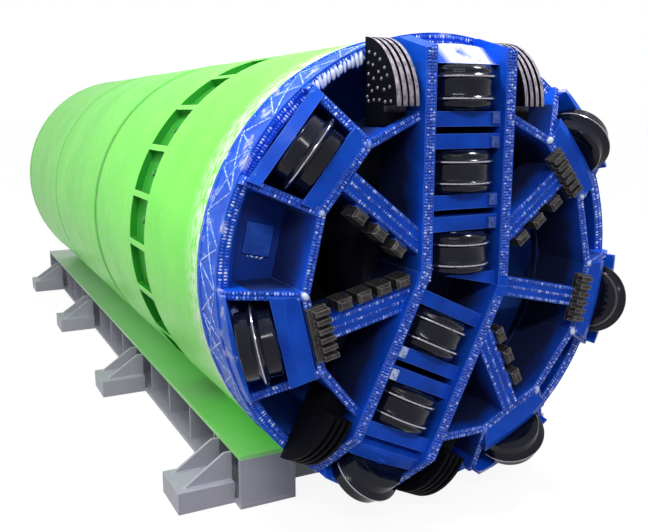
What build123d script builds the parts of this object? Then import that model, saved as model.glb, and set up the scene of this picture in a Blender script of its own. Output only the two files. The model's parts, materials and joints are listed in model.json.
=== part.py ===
"""Microtunnel boring machine on its storage cradle: cutterhead, two shield cans and cradle.

Millimetres. +Z is up, the cutterhead faces -Y and the machine's axis runs along +Y.
The origin is on the floor, under the middle of the whole machine.
Angles round the axis are clockwise seen from the front, counted from straight up.
"""
from build123d import *
from math import cos, radians, sin, sqrt, tan
import os

# Shield
SHIELD_RADIUS = 1000
SKIN_WALL = 45
HEAD_GAP = 12
FRONT_CAN_LENGTH = 2130
SEAM_WIDTH = 12
REAR_CAN_LENGTH = 3500
WINDOW_COUNT = 24
WINDOW_START = 878
WINDOW_LENGTH = 315
WINDOW_BRIDGE = 32
BACKING_RING_WALL = 35
BACKING_RING_OVERLAP = 60
SEAM_RING_WALL = 40
SEAM_RING_LENGTH = 360
TAIL_RING_LENGTH = 90
TAIL_RING_WALL = 110
TAIL_BOLT_COUNT = 16
TAIL_BOLT_RADIUS = 14
TAIL_BOLT_INSET = 55

# Inside the shield
BULKHEAD_START = 360
BULKHEAD_THICKNESS = 60
CONE_FRONT_WALL = 25
CONE_REAR_RADIUS = 640
DRIVE_RADIUS = 420
DRIVE_LENGTH = 520
MOTOR_COUNT = 6
MOTOR_RADIUS = 95
MOTOR_LENGTH = 430
MOTOR_CIRCLE = 290
PIPE_RADIUS = 90
PIPE_WALL = 8
PIPE_OFFSET_X = 300
PIPE_DROP = 760
JACK_COUNT = 4
JACK_RADIUS = 65
JACK_ROD_RADIUS = 38
JACK_LENGTH = 620
JACK_CLEARANCE = 20
JACK_BRACKET_DEPTH = 60
DECK_DROP = 620
DECK_THICKNESS = 20
DECK_LENGTH = 2300
CABINET_SIZE = (420, 900, 520)
CABINET_SETBACK = 620
POWER_PACK_SIZE = (520, 1000, 420)
POWER_PACK_X = -330
CABINET_X = 340
CABINET_CHAMFER = 20

# Cutterhead
RIM_LENGTH = 234
RIM_WALL = 45
RIM_BAND_WIDTH = 22
RIM_BAND_HEIGHT = 5
CELL_COUNT = 14
CELL_RING_APOTHEM = 715
CELL_PLATE = 35
CELL_FACE = 430
CELL_SHOULDER_RADIUS = 740
RIM_FACE = 275
SADDLE_SHOULDER_RADIUS = 800
SADDLE_RIM_FACE = 330
BACK_RING_FACE = 130
BACK_RING_WALL = 40
MAIN_ARM_WIDTH = 440
MAIN_ARM_PLATE = 50
MAIN_ARM_FACE = 470
UPPER_ARM_SHOULDER_RADIUS = 950
LOWER_ARM_SHOULDER_RADIUS = 785
END_BLOCK_FACE = 330
MAIN_ARM_WEB = 40
THIN_ARM_WIDTH = 85
THIN_ARM_FACE = 440
THIN_ARM_BACK = 210
HUB_RADIUS = 300
HUB_REAR = -700
BEARING_CLEARANCE = 0.5
LOWER_ARM_CELL = 8

# Disc cutters
DISC_RADIUS = 164
DISC_TIP = 12
TWIN_DISC_ROOT = 32
GAUGE_DISC_ROOT = 56
TWIN_SPACING = 86
TWIN_LENGTH = 175
TWIN_CENTRE_FACE = 356
HUB_BARREL_RADIUS = 146
HUB_END_RADIUS = 118
GAUGE_LENGTH = 150
SHAFT_RADIUS = 35
SHAFT_CLEARANCE = 0.5
SADDLE_GAP = 5
TWIN_SADDLE_THICKNESS = 60
TWIN_SADDLE_FACE = 440
SHAFT_GRIP = 15
OUTER_SADDLE_THICKNESS = 52
INNER_SADDLE_THICKNESS = 110
ARM_SADDLE_THICKNESS = 60
GAUGE_SADDLE_HEIGHT = 110
GAUGE_SADDLE_DEPTH = 130

# Twin cutters: name, cell of the arm, distance from the axis
TWIN_CUTTERS = [
    ("twin_cutter_1", 0, 778),
    ("twin_cutter_2", 0, 445),
    ("twin_cutter_3", 0, 112),
    ("twin_cutter_4", LOWER_ARM_CELL, 255),
    ("twin_cutter_5", LOWER_ARM_CELL, 588),
]
# Gauge cutters: name, cell, distance from the axis, distance ahead of the head joint, tilt
GAUGE_CUTTERS = [
    ("gauge_cutter_1", 2, 872, 330, 22),
    ("gauge_cutter_2", 4, 878, 335, 22),
    ("gauge_cutter_3", 6, 878, 335, 22),
    ("gauge_cutter_4", 8, 885, 335, 38),
    ("gauge_cutter_5", 10, 885, 320, 22),
    ("gauge_cutter_6", 12, 840, 335, 20),
]
# Thin arms: name, cell, side of its teeth (+1 is clockwise), places of the teeth along the arm
THIN_ARMS = [
    ("thin_arm_1", 2, 1, (340, 450, 565)),
    ("thin_arm_2", 4, -1, ()),
    ("thin_arm_3", 6, -1, (340, 450, 565)),
    ("thin_arm_4", 10, 1, (280, 370, 460, 550)),
    ("thin_arm_5", 12, -1, (340, 450, 565)),
]
# Cells whose far wall, half a cell clockwise, is a radial plate
WALL_CELLS = [1, 2, 3, 4, 5, 6, 9, 10, 11, 12]
OPEN_CELLS = [1, 3, 5, 7, 9, 13]
TOOTH_LENGTH = 64
TOOTH_WIDTH = 44
TOOTH_DEPTH = 80
TOOTH_PROUD = 20
TOOTH_BEVEL = 11
HOLDER_WIDTH = 14
HOLDER_SETBACK = 6
HOLDER_BEVEL = 3

# Ribbed blocks on the cell ring, across the ends of the thin arms
COMB_CELLS = [2, 4, 10]
COMB_DISTANCE = 665
COMB_LENGTH = 62
COMB_WIDTH = 220
COMB_HEIGHT = 56
COMB_BASE = 22
COMB_RIBS = 6

# Ribbed wear shoes beside the main arm: cell of the arm, side (+1 is clockwise)
SHOES = [(0, 1), (0, -1), (LOWER_ARM_CELL, 1), (LOWER_ARM_CELL, -1)]
SHOE_GAP = 38
SHOE_WIDTH = 100
SHOE_CENTRE_OUT = 705
SHOE_CENTRE_AHEAD = 212
SHOE_RADIUS = 258
SHOE_FOOT_FACE = 390
SHOE_RIB_HEIGHT = 14
SHOE_RIBS = 4

# Cradle
AXIS_HEIGHT = 1110
BEAM_DROP = 850
CROSS_DROP = 910
SADDLE_CLEARANCE = 0.3
BEAM_INNER = 523
BEAM_WIDTH = 277
BEAM_START = 94
BEAM_END = 6080
BEAM_PLATE = 20
FOOT_REACH = 1070
FOOT_HEIGHT = 104
FOOT_STARTS = [170, 1840, 3530, 5190]
FOOT_LENGTH = 260
GUSSET_INSET = 35
GUSSET_PLATE = 15
RIB_SPACING = 410
RIB_INSET = 20
CROSS_STARTS = [200, 1870, 3560, 5220]
CROSS_LENGTH = 200
CROSS_LIFT = 40

# Worked-out places
HEAD_REACH = TWIN_CENTRE_FACE + DISC_RADIUS
JOINT_Y = (HEAD_REACH - BEAM_END) / 2
CELL_PITCH = 360 / CELL_COUNT
FRONT_CAN_START = HEAD_GAP / 2
FRONT_CAN_END = FRONT_CAN_START + FRONT_CAN_LENGTH
REAR_CAN_START = FRONT_CAN_END + SEAM_WIDTH
REAR_CAN_END = REAR_CAN_START + REAR_CAN_LENGTH
SKIN_INNER = SHIELD_RADIUS - SKIN_WALL
RIM_INNER = SHIELD_RADIUS - RIM_WALL
BEAM_TOP = AXIS_HEIGHT - BEAM_DROP
MACHINE_AXIS = Axis((0, JOINT_Y, AXIS_HEIGHT), (0, 1, 0))
FACE_PLANE = Plane(origin=(0, JOINT_Y, AXIS_HEIGHT), x_dir=(1, 0, 0), z_dir=(0, -1, 0))

os.makedirs("parts", exist_ok=True)


def save(part, name):
    """Label a finished piece and write it to its own file."""
    part.label = name
    export_step(part, f"parts/{name}.step")


def station(distance):
    """Plane across the axis, its normal pointing back, at a distance behind the head joint."""
    return Plane(origin=(0, JOINT_Y + distance, AXIS_HEIGHT), x_dir=(-1, 0, 0), z_dir=(0, 1, 0))


def arm_plane(cell):
    """Plane of the face whose x runs outwards along the middle of a cell."""
    angle = radians(cell * CELL_PITCH)
    return Plane(origin=FACE_PLANE.origin, x_dir=(sin(angle), 0, cos(angle)), z_dir=(0, -1, 0))


def side_plane(cell):
    """Plane through the axis: x runs outwards along a cell and y runs forwards."""
    angle = radians(cell * CELL_PITCH)
    return Plane(
        origin=FACE_PLANE.origin,
        x_dir=(sin(angle), 0, cos(angle)),
        z_dir=(cos(angle), 0, -sin(angle)),
    )


def tube(start, end, outer, inner):
    """Plain ring about the machine's axis."""
    with BuildPart() as ring:
        with BuildSketch(station(start)):
            Circle(outer)
            Circle(inner, mode=Mode.SUBTRACT)
        extrude(amount=end - start)
    return ring.part


def revolved(points):
    """Solid turned about the machine's axis from points of radius and distance ahead."""
    with BuildPart() as turned:
        with BuildSketch(side_plane(0)):
            with BuildLine():
                Polyline(*points, close=True)
            make_face()
        revolve(axis=MACHINE_AXIS)
    return turned.part


# Shield cans
with BuildPart() as front_shield:
    add(tube(FRONT_CAN_START, FRONT_CAN_END, SHIELD_RADIUS, SKIN_INNER))
    window_height = 2 * SHIELD_RADIUS * sin(radians(180 / WINDOW_COUNT)) - WINDOW_BRIDGE
    with Locations(station(WINDOW_START + WINDOW_LENGTH / 2)):
        with PolarLocations(SHIELD_RADIUS, WINDOW_COUNT, start_angle=180 / WINDOW_COUNT):
            Box(4 * SKIN_WALL, window_height, WINDOW_LENGTH, mode=Mode.SUBTRACT)
save(front_shield.part, "front_shield")

save(tube(REAR_CAN_START, REAR_CAN_END, SHIELD_RADIUS, SKIN_INNER), "rear_shield")
save(
    tube(
        WINDOW_START - BACKING_RING_OVERLAP,
        WINDOW_START + WINDOW_LENGTH + BACKING_RING_OVERLAP,
        SKIN_INNER,
        SKIN_INNER - BACKING_RING_WALL,
    ),
    "window_backing_ring",
)
seam_middle = (FRONT_CAN_END + REAR_CAN_START) / 2
save(
    tube(
        seam_middle - SEAM_RING_LENGTH / 2,
        seam_middle + SEAM_RING_LENGTH / 2,
        SKIN_INNER,
        SKIN_INNER - SEAM_RING_WALL,
    ),
    "articulation_ring",
)

tail_bolt_circle = SKIN_INNER - TAIL_BOLT_INSET
with BuildPart() as tail_ring:
    add(tube(REAR_CAN_END - TAIL_RING_LENGTH, REAR_CAN_END, SKIN_INNER, SKIN_INNER - TAIL_RING_WALL))
    with Locations(station(REAR_CAN_END)):
        with PolarLocations(tail_bolt_circle, TAIL_BOLT_COUNT):
            Hole(TAIL_BOLT_RADIUS)
save(tail_ring.part, "tail_ring")

# Crushing chamber, bulkhead and drive
hub_bore = HUB_RADIUS + HEAD_GAP
with BuildPart() as bulkhead:
    add(tube(BULKHEAD_START, BULKHEAD_START + BULKHEAD_THICKNESS, SKIN_INNER, hub_bore))
    with Locations(station(BULKHEAD_START)):
        with Locations((PIPE_OFFSET_X, -PIPE_DROP), (-PIPE_OFFSET_X, -PIPE_DROP)):
            Cylinder(PIPE_RADIUS, 4 * BULKHEAD_THICKNESS, mode=Mode.SUBTRACT)
save(bulkhead.part, "bulkhead")

save(
    revolved(
        [
            (SKIN_INNER, -FRONT_CAN_START),
            (SKIN_INNER - CONE_FRONT_WALL, -FRONT_CAN_START),
            (CONE_REAR_RADIUS, -BULKHEAD_START),
            (SKIN_INNER, -BULKHEAD_START),
        ]
    ),
    "crushing_cone",
)

drive_start = BULKHEAD_START + BULKHEAD_THICKNESS
drive_end = drive_start + DRIVE_LENGTH
save(tube(drive_start, drive_end, DRIVE_RADIUS, HUB_RADIUS + BEARING_CLEARANCE), "main_drive_ring")
with BuildPart() as drive_block:
    with BuildSketch(station(drive_end)):
        Circle(DRIVE_RADIUS)
    extrude(amount=BULKHEAD_THICKNESS)
save(drive_block.part, "main_drive_cover")

motor_start = drive_end + BULKHEAD_THICKNESS
with BuildPart() as drive_motors:
    with BuildSketch(station(motor_start)):
        with PolarLocations(MOTOR_CIRCLE, MOTOR_COUNT):
            Circle(MOTOR_RADIUS)
    extrude(amount=MOTOR_LENGTH)
save(drive_motors.part, "drive_motors")

with BuildPart() as slurry_pipes:
    with BuildSketch(station(BULKHEAD_START)):
        with Locations((PIPE_OFFSET_X, -PIPE_DROP), (-PIPE_OFFSET_X, -PIPE_DROP)):
            Circle(PIPE_RADIUS)
            Circle(PIPE_RADIUS - PIPE_WALL, mode=Mode.SUBTRACT)
    extrude(amount=REAR_CAN_END - TAIL_RING_LENGTH - BULKHEAD_START)
save(slurry_pipes.part, "slurry_pipes")

jack_circle = SKIN_INNER - SEAM_RING_WALL - JACK_RADIUS - JACK_CLEARANCE
with BuildPart() as steering_jacks:
    with BuildSketch(station(seam_middle - JACK_LENGTH / 2)):
        with PolarLocations(jack_circle, JACK_COUNT, start_angle=45):
            Circle(JACK_RADIUS)
    extrude(amount=JACK_LENGTH / 2)
    with BuildSketch(station(seam_middle)):
        with PolarLocations(jack_circle, JACK_COUNT, start_angle=45):
            Circle(JACK_ROD_RADIUS)
    extrude(amount=JACK_LENGTH / 2)
    for end in (seam_middle - JACK_LENGTH / 2 - JACK_BRACKET_DEPTH, seam_middle + JACK_LENGTH / 2):
        with BuildSketch(station(end)):
            with PolarLocations(jack_circle + JACK_RADIUS / 2, JACK_COUNT, start_angle=45):
                Rectangle(3 * JACK_RADIUS, 2 * JACK_RADIUS)
            Circle(SKIN_INNER, mode=Mode.INTERSECT)
        extrude(amount=JACK_BRACKET_DEPTH)
save(steering_jacks.part, "steering_jacks")

# Deck and the cabinets that stand on it
deck_half_width = sqrt(SKIN_INNER**2 - DECK_DROP**2)
deck_end = REAR_CAN_END - TAIL_RING_LENGTH
deck_start = deck_end - DECK_LENGTH
with BuildPart() as machine_deck:
    with BuildSketch(station(deck_start)):
        Circle(SKIN_INNER)
        with Locations((0, -DECK_DROP - DECK_THICKNESS / 2)):
            Rectangle(2 * deck_half_width, DECK_THICKNESS, mode=Mode.INTERSECT)
    extrude(amount=DECK_LENGTH)
save(machine_deck.part, "machine_deck")


def deck_cabinet(size, x_place, name):
    """Cabinet with a chamfered top that stands on the deck."""
    with BuildPart() as cabinet:
        base = (x_place, JOINT_Y + deck_start + CABINET_SETBACK, AXIS_HEIGHT - DECK_DROP)
        with Locations(base):
            Box(*size, align=(Align.CENTER, Align.CENTER, Align.MIN))
        chamfer(cabinet.faces().sort_by(Axis.Z)[-1].edges(), CABINET_CHAMFER)
    save(cabinet.part, name)


# Cutterhead
head_back = HEAD_GAP / 2
rim_front = head_back + RIM_LENGTH
with BuildPart() as head_rim:
    add(tube(-rim_front, -head_back, SHIELD_RADIUS, RIM_INNER))
    for band_start in (-rim_front, -head_back - RIM_BAND_WIDTH):
        add(tube(band_start, band_start + RIM_BAND_WIDTH, SHIELD_RADIUS + RIM_BAND_HEIGHT, RIM_INNER))
save(head_rim.part, "head_rim")


def cell_prism(cell, start, back, front):
    """Prism of one cell between the middles of its walls, from a distance out to beyond the rim."""
    slope = tan(radians(CELL_PITCH / 2))
    end = 2 * SHIELD_RADIUS
    with BuildPart() as prism:
        with BuildSketch(arm_plane(cell).offset(back)):
            with BuildLine():
                Polyline((start, start * slope), (end, end * slope),
                         (end, -end * slope), (start, -start * slope), close=True)
            make_face()
        extrude(amount=front - back)
    return prism.part


ring_back = BACK_RING_FACE - BACK_RING_WALL
with BuildPart() as head_back_ring:
    add(tube(-BACK_RING_FACE, -ring_back, RIM_INNER, CELL_RING_APOTHEM - CELL_PLATE))
    for cell in OPEN_CELLS:
        add(cell_prism(cell, CELL_RING_APOTHEM, ring_back, BACK_RING_FACE), mode=Mode.SUBTRACT)
save(head_back_ring.part, "head_back_ring")


def face_envelope(shoulder, face, rim_face):
    """Space for the pieces of the face: flat out to a shoulder, then sloping down to the rim's edge."""
    return revolved(
        [
            (0, BACK_RING_FACE),
            (RIM_INNER, BACK_RING_FACE),
            (RIM_INNER, rim_front),
            (SHIELD_RADIUS, rim_front),
            (SHIELD_RADIUS, rim_face),
            (shoulder, face),
            (0, face),
        ]
    )


cell_envelope = face_envelope(CELL_SHOULDER_RADIUS, CELL_FACE, RIM_FACE)
saddle_envelope = face_envelope(SADDLE_SHOULDER_RADIUS, CELL_FACE, SADDLE_RIM_FACE)


def bend_point(half_width, side):
    """Where the main arm's edge turns from the upper to the lower arm."""
    turn = radians((LOWER_ARM_CELL - CELL_COUNT / 2) * CELL_PITCH / 2)
    angle = radians(90) + turn if side > 0 else radians(270) + turn
    reach = half_width / cos(turn)
    return (reach * sin(angle), reach * cos(angle))


def arm_end(cell, half_width, side):
    """Corner of an arm's strip beyond the rim, on its clockwise (+1) or other side."""
    angle = radians(cell * CELL_PITCH)
    out = (sin(angle), cos(angle))
    across = (cos(angle) * side, -sin(angle) * side)
    return tuple(SHIELD_RADIUS * a + half_width * b for a, b in zip(out, across))


def main_arm_strip(cell, half_width):
    """Outline of half of the bent main arm, from the bend to beyond the rim."""
    right, left = (1, -1) if cell == 0 else (-1, 1)
    return [
        bend_point(half_width, 1),
        arm_end(cell, half_width, right),
        arm_end(cell, half_width, left),
        bend_point(half_width, -1),
    ]


def strip_solid(cell, half_width, start, end):
    """Main arm's strip as a prism between two distances ahead of the joint."""
    with BuildPart() as strip:
        with BuildSketch(FACE_PLANE.offset(start)):
            with BuildLine():
                Polyline(*main_arm_strip(cell, half_width), close=True)
            make_face()
        extrude(amount=end - start)
    return strip.part


channel_half = MAIN_ARM_WIDTH / 2 - MAIN_ARM_PLATE
web_front = BACK_RING_FACE + MAIN_ARM_WEB
twin_saddle_inner = TWIN_LENGTH / 2 + SADDLE_GAP
end_block_start = TWIN_CUTTERS[0][2] + twin_saddle_inner

main_arms = []
for arm_name, arm_cell, shoulder in (
    ("main_arm_upper", 0, UPPER_ARM_SHOULDER_RADIUS),
    ("main_arm_lower", LOWER_ARM_CELL, LOWER_ARM_SHOULDER_RADIUS),
):
    with BuildPart() as main_arm:
        add(strip_solid(arm_cell, MAIN_ARM_WIDTH / 2, BACK_RING_FACE, MAIN_ARM_FACE))
        add(strip_solid(arm_cell, channel_half, web_front, MAIN_ARM_FACE + CELL_PLATE), mode=Mode.SUBTRACT)
        add(face_envelope(shoulder, MAIN_ARM_FACE, RIM_FACE), mode=Mode.INTERSECT)
    save(main_arm.part, arm_name)
    main_arms.append(main_arm.part)

main_arm_block = [
    strip_solid(cell, MAIN_ARM_WIDTH / 2, 0, 2 * MAIN_ARM_FACE) for cell in (0, LOWER_ARM_CELL)
]

with BuildPart() as head_cell_frame:
    with BuildSketch(FACE_PLANE.offset(BACK_RING_FACE)):
        RegularPolygon(CELL_RING_APOTHEM, CELL_COUNT, major_radius=False)
        RegularPolygon(
            CELL_RING_APOTHEM - CELL_PLATE, CELL_COUNT, major_radius=False, mode=Mode.SUBTRACT
        )
    extrude(amount=CELL_FACE - BACK_RING_FACE)
    for cell in WALL_CELLS:
        with BuildSketch(arm_plane(cell + 0.5).offset(BACK_RING_FACE)):
            with Locations(((CELL_RING_APOTHEM + SHIELD_RADIUS) / 2, 0)):
                Rectangle(SHIELD_RADIUS - CELL_RING_APOTHEM, CELL_PLATE)
        extrude(amount=CELL_FACE - BACK_RING_FACE)
    add(cell_envelope, mode=Mode.INTERSECT)
    for block in main_arm_block:
        add(block, mode=Mode.SUBTRACT)
save(head_cell_frame.part, "head_cell_frame")

ring_inner = CELL_RING_APOTHEM - CELL_PLATE
thin_arms = []
for arm_name, arm_cell, _, _ in THIN_ARMS:
    with BuildPart() as thin_arm:
        with BuildSketch(arm_plane(arm_cell).offset(THIN_ARM_BACK)):
            with Locations((ring_inner / 2, 0)):
                Rectangle(ring_inner, THIN_ARM_WIDTH)
        extrude(amount=THIN_ARM_FACE - THIN_ARM_BACK)
        for block in main_arm_block:
            add(block, mode=Mode.SUBTRACT)
    save(thin_arm.part, arm_name)
    thin_arms.append(thin_arm.part)

with BuildPart() as head_hub:
    with BuildSketch(FACE_PLANE.offset(HUB_REAR)):
        Circle(HUB_RADIUS)
    extrude(amount=BACK_RING_FACE - HUB_REAR)
save(head_hub.part, "head_hub")



def tooth_block(cell, side, place, start, width, front, bevel):
    """Block beside a thin arm, from a distance off its face to a width more."""
    back = THIN_ARM_FACE - TOOTH_DEPTH
    with BuildPart() as block:
        with BuildSketch(arm_plane(cell).offset(back)):
            with Locations((place, -side * (THIN_ARM_WIDTH / 2 + start + width / 2))):
                Rectangle(TOOTH_LENGTH, width)
        extrude(amount=front - back)
        chamfer(block.faces().sort_by(Axis.Y)[0].edges(), bevel)
    return block.part


# Scraper teeth along the thin arms, each on a holder
with BuildPart() as tooth_holders:
    for _, arm_cell, side, stations in THIN_ARMS:
        for station_place in stations:
            front = THIN_ARM_FACE - HOLDER_SETBACK
            add(tooth_block(arm_cell, side, station_place, 0, HOLDER_WIDTH, front, HOLDER_BEVEL))
save(tooth_holders.part, "tooth_holders")

with BuildPart() as scraper_teeth:
    for _, arm_cell, side, stations in THIN_ARMS:
        for station_place in stations:
            front = THIN_ARM_FACE + TOOTH_PROUD
            add(tooth_block(arm_cell, side, station_place, HOLDER_WIDTH, TOOTH_WIDTH, front, TOOTH_BEVEL))
save(scraper_teeth.part, "scraper_teeth")

# Ribbed blocks just inside the cell ring, on base plates that lie on its face
with BuildPart() as scraper_combs:
    comb_rib_pitch = COMB_WIDTH / COMB_RIBS
    comb_inner = COMB_DISTANCE - COMB_LENGTH / 2
    for cell in COMB_CELLS:
        with BuildSketch(arm_plane(cell).offset(CELL_FACE)):
            with Locations(((comb_inner + CELL_RING_APOTHEM) / 2, 0)):
                Rectangle(CELL_RING_APOTHEM - comb_inner, COMB_WIDTH)
        extrude(amount=COMB_BASE)
        with BuildSketch(arm_plane(cell).offset(CELL_FACE + COMB_BASE)):
            with Locations((COMB_DISTANCE, 0)):
                with GridLocations(comb_rib_pitch, comb_rib_pitch, 1, COMB_RIBS):
                    Rectangle(COMB_LENGTH, comb_rib_pitch / 2)
        extrude(amount=COMB_HEIGHT - COMB_BASE)
    for arm in thin_arms:
        add(arm, mode=Mode.SUBTRACT)
save(scraper_combs.part, "scraper_combs")

# Ribbed wear shoes beside the main arm
shoe_near = MAIN_ARM_WIDTH / 2 + SHOE_GAP
shoe_root = (ring_inner - shoe_near * sin(radians(CELL_PITCH))) / cos(radians(CELL_PITCH)) + 1


def shoe_slice(cell, side, start, width, radius):
    """Slice of a shoe parallel to the arm's plates: a quarter round with a low foot on the ring."""
    with BuildPart() as piece:
        with BuildSketch(side_plane(cell).offset(side * (shoe_near + start))):
            with Locations((SHOE_CENTRE_OUT, SHOE_CENTRE_AHEAD)):
                Circle(radius)
            with Locations((SHOE_CENTRE_OUT, rim_front)):
                Rectangle(SHIELD_RADIUS, SHIELD_RADIUS, align=(Align.MIN, Align.MIN), mode=Mode.INTERSECT)
            with Locations((shoe_root, rim_front)):
                Rectangle(SHOE_CENTRE_OUT - shoe_root, SHOE_FOOT_FACE - rim_front,
                          align=(Align.MIN, Align.MIN))
        extrude(amount=side * width)
    return piece.part


with BuildPart() as gauge_shoes:
    shoe_rib_width = SHOE_WIDTH / (2 * SHOE_RIBS - 1)
    for cell, side in SHOES:
        add(shoe_slice(cell, side, 0, SHOE_WIDTH, SHOE_RADIUS))
        for rib in range(SHOE_RIBS):
            rib_start = 2 * rib * shoe_rib_width
            add(shoe_slice(cell, side, rib_start, shoe_rib_width, SHOE_RADIUS + SHOE_RIB_HEIGHT))
    add(head_cell_frame.part, mode=Mode.SUBTRACT)
save(gauge_shoes.part, "gauge_shoes")


def cutter_plane(cell, distance, ahead, tilt):
    """Plane of a cutter's profile: x along its shaft, outwards, and y towards the rock."""
    base = side_plane(cell)
    centre = base.from_local_coords((distance, ahead, 0))
    out = base.x_dir * cos(radians(tilt)) - base.y_dir * sin(radians(tilt))
    return Plane(origin=centre, x_dir=out, z_dir=base.z_dir)


def disc_profile(centre, root):
    """Corner points of one cutting ring on the barrel, along the shaft and away from it."""
    return [
        (centre - root / 2, HUB_BARREL_RADIUS),
        (centre - DISC_TIP / 2, DISC_RADIUS),
        (centre + DISC_TIP / 2, DISC_RADIUS),
        (centre + root / 2, HUB_BARREL_RADIUS),
    ]


def cutter(plane, length, ring_centres, root, name):
    """Turned barrel with its cutting rings, bored for the fixed shaft."""
    bore = SHAFT_RADIUS + SHAFT_CLEARANCE
    step = HUB_BARREL_RADIUS - HUB_END_RADIUS
    points = [(-length / 2, bore), (-length / 2, HUB_END_RADIUS)]
    points.append((-length / 2 + step, HUB_BARREL_RADIUS))
    for centre in ring_centres:
        points += disc_profile(centre, root)
    points.append((length / 2 - step, HUB_BARREL_RADIUS))
    points += [(length / 2, HUB_END_RADIUS), (length / 2, bore)]
    with BuildPart() as hub:
        with BuildSketch(plane):
            with BuildLine():
                Polyline(*points, close=True)
            make_face()
        revolve(axis=Axis(plane.origin, plane.x_dir))
    save(hub.part, name)


def shaft(plane, length):
    """Fixed shaft of a cutter."""
    with BuildPart() as rod:
        with BuildSketch(Plane(origin=plane.origin, z_dir=plane.x_dir)):
            Circle(SHAFT_RADIUS)
        extrude(amount=length / 2, both=True)
    return rod.part


def twin_saddle_group(arm_cell):
    """Saddle bars and shafts of the twin cutters on one half of the main arm."""
    members = [row for row in TWIN_CUTTERS if row[1] == arm_cell]
    with BuildPart() as group:
        for _, cell, distance in members:
            with BuildSketch(arm_plane(cell).offset(web_front)):
                for side in (-1, 1):
                    middle = distance + side * (twin_saddle_inner + TWIN_SADDLE_THICKNESS / 2)
                    with Locations((middle, 0)):
                        Rectangle(TWIN_SADDLE_THICKNESS, 2 * channel_half)
                if distance + twin_saddle_inner == end_block_start:
                    with Locations(((end_block_start + RIM_INNER) / 2, 0)):
                        Rectangle(RIM_INNER - end_block_start, 2 * channel_half)
            extrude(amount=TWIN_SADDLE_FACE - web_front)
        add(strip_solid(arm_cell, channel_half, 0, MAIN_ARM_FACE), mode=Mode.INTERSECT)
        add(end_block_envelope, mode=Mode.INTERSECT)
        for _, cell, distance in members:
            place = cutter_plane(cell, distance, TWIN_CENTRE_FACE, 0)
            add(shaft(place, 2 * (twin_saddle_inner + SHAFT_GRIP)))
    return group.part


end_block_envelope = revolved(
    [
        (0, BACK_RING_FACE),
        (RIM_INNER, BACK_RING_FACE),
        (RIM_INNER, END_BLOCK_FACE),
        (end_block_start, TWIN_SADDLE_FACE),
        (0, TWIN_SADDLE_FACE),
    ]
)
with BuildPart() as twin_saddles:
    for arm_cell in (0, LOWER_ARM_CELL):
        add(twin_saddle_group(arm_cell))
save(twin_saddles.part, "twin_saddles")

for cutter_name, cell, distance in TWIN_CUTTERS:
    rings = (-TWIN_SPACING / 2, TWIN_SPACING / 2)
    cutter(cutter_plane(cell, distance, TWIN_CENTRE_FACE, 0), TWIN_LENGTH, rings, TWIN_DISC_ROOT, cutter_name)

gauge_saddle_inner = GAUGE_LENGTH / 2 + SADDLE_GAP


def saddle_plate(place, side, thickness):
    """Plate across a gauge cutter's shaft, wider than the cell, on one side of the cutter."""
    with BuildPart() as plate:
        with BuildSketch(Plane(origin=place.from_local_coords((side * gauge_saddle_inner, 0, 0)),
                               x_dir=place.z_dir, z_dir=place.x_dir)):
            with Locations((0, -GAUGE_SADDLE_DEPTH)):
                Rectangle(CELL_RING_APOTHEM, GAUGE_SADDLE_DEPTH + GAUGE_SADDLE_HEIGHT,
                          align=(Align.CENTER, Align.MIN))
        extrude(amount=side * thickness)
    return plate.part


def gauge_saddle(cell, place):
    """The two plates and the shaft of one gauge cutter, fitted between what is round them."""
    on_arm = cell == LOWER_ARM_CELL
    with BuildPart() as saddle:
        add(saddle_plate(place, 1, OUTER_SADDLE_THICKNESS))
        add(saddle_plate(place, -1, ARM_SADDLE_THICKNESS if on_arm else INNER_SADDLE_THICKNESS))
        add(saddle_envelope, mode=Mode.INTERSECT)
        if on_arm:
            add(strip_solid(cell, channel_half, 0, MAIN_ARM_FACE), mode=Mode.INTERSECT)
            add(main_arms[1], mode=Mode.SUBTRACT)
        else:
            add(cell_prism(cell, CELL_RING_APOTHEM, 0, MAIN_ARM_FACE), mode=Mode.INTERSECT)
        add(shaft(place, 2 * (gauge_saddle_inner + SHAFT_GRIP)))
        for neighbour in (head_cell_frame, head_rim, twin_saddles):
            add(neighbour.part, mode=Mode.SUBTRACT)
    return saddle.part


with BuildPart() as gauge_saddles:
    for _, cell, distance, ahead, tilt in GAUGE_CUTTERS:
        add(gauge_saddle(cell, cutter_plane(cell, distance, ahead, tilt)))
save(gauge_saddles.part, "gauge_saddles")

for cutter_name, cell, distance, ahead, tilt in GAUGE_CUTTERS:
    cutter(cutter_plane(cell, distance, ahead, tilt), GAUGE_LENGTH, (0,), GAUGE_DISC_ROOT, cutter_name)

# Cradle: two beams of welded plate with ribs, on feet that reach out
beam_length = BEAM_END - BEAM_START
beam_middle = BEAM_INNER + BEAM_WIDTH / 2
beam_outer = BEAM_INNER + BEAM_WIDTH
web_height = BEAM_TOP - 2 * BEAM_PLATE


def cradle_station(distance):
    """Upright plane across the machine over the floor, at a distance behind the head joint."""
    return Plane(origin=(0, JOINT_Y + distance, 0), x_dir=(1, 0, 0), z_dir=(0, -1, 0))


def shield_bed(start, length):
    """Space of the shield, with its clearance in the cradle."""
    with BuildPart() as bed:
        with BuildSketch(station(start)):
            Circle(SHIELD_RADIUS + SADDLE_CLEARANCE)
        extrude(amount=length)
    return bed.part


def beam_plates(width, height, middle, lift, start, length):
    """The same plate on both beams: its section, the place of its middle and its stretch."""
    with BuildPart() as plates:
        with BuildSketch(cradle_station(start)):
            with Locations((middle, lift + height / 2), (-middle, lift + height / 2)):
                Rectangle(width, height)
        extrude(amount=-length)
        add(shield_bed(start, length), mode=Mode.SUBTRACT)
    return plates.part


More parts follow.
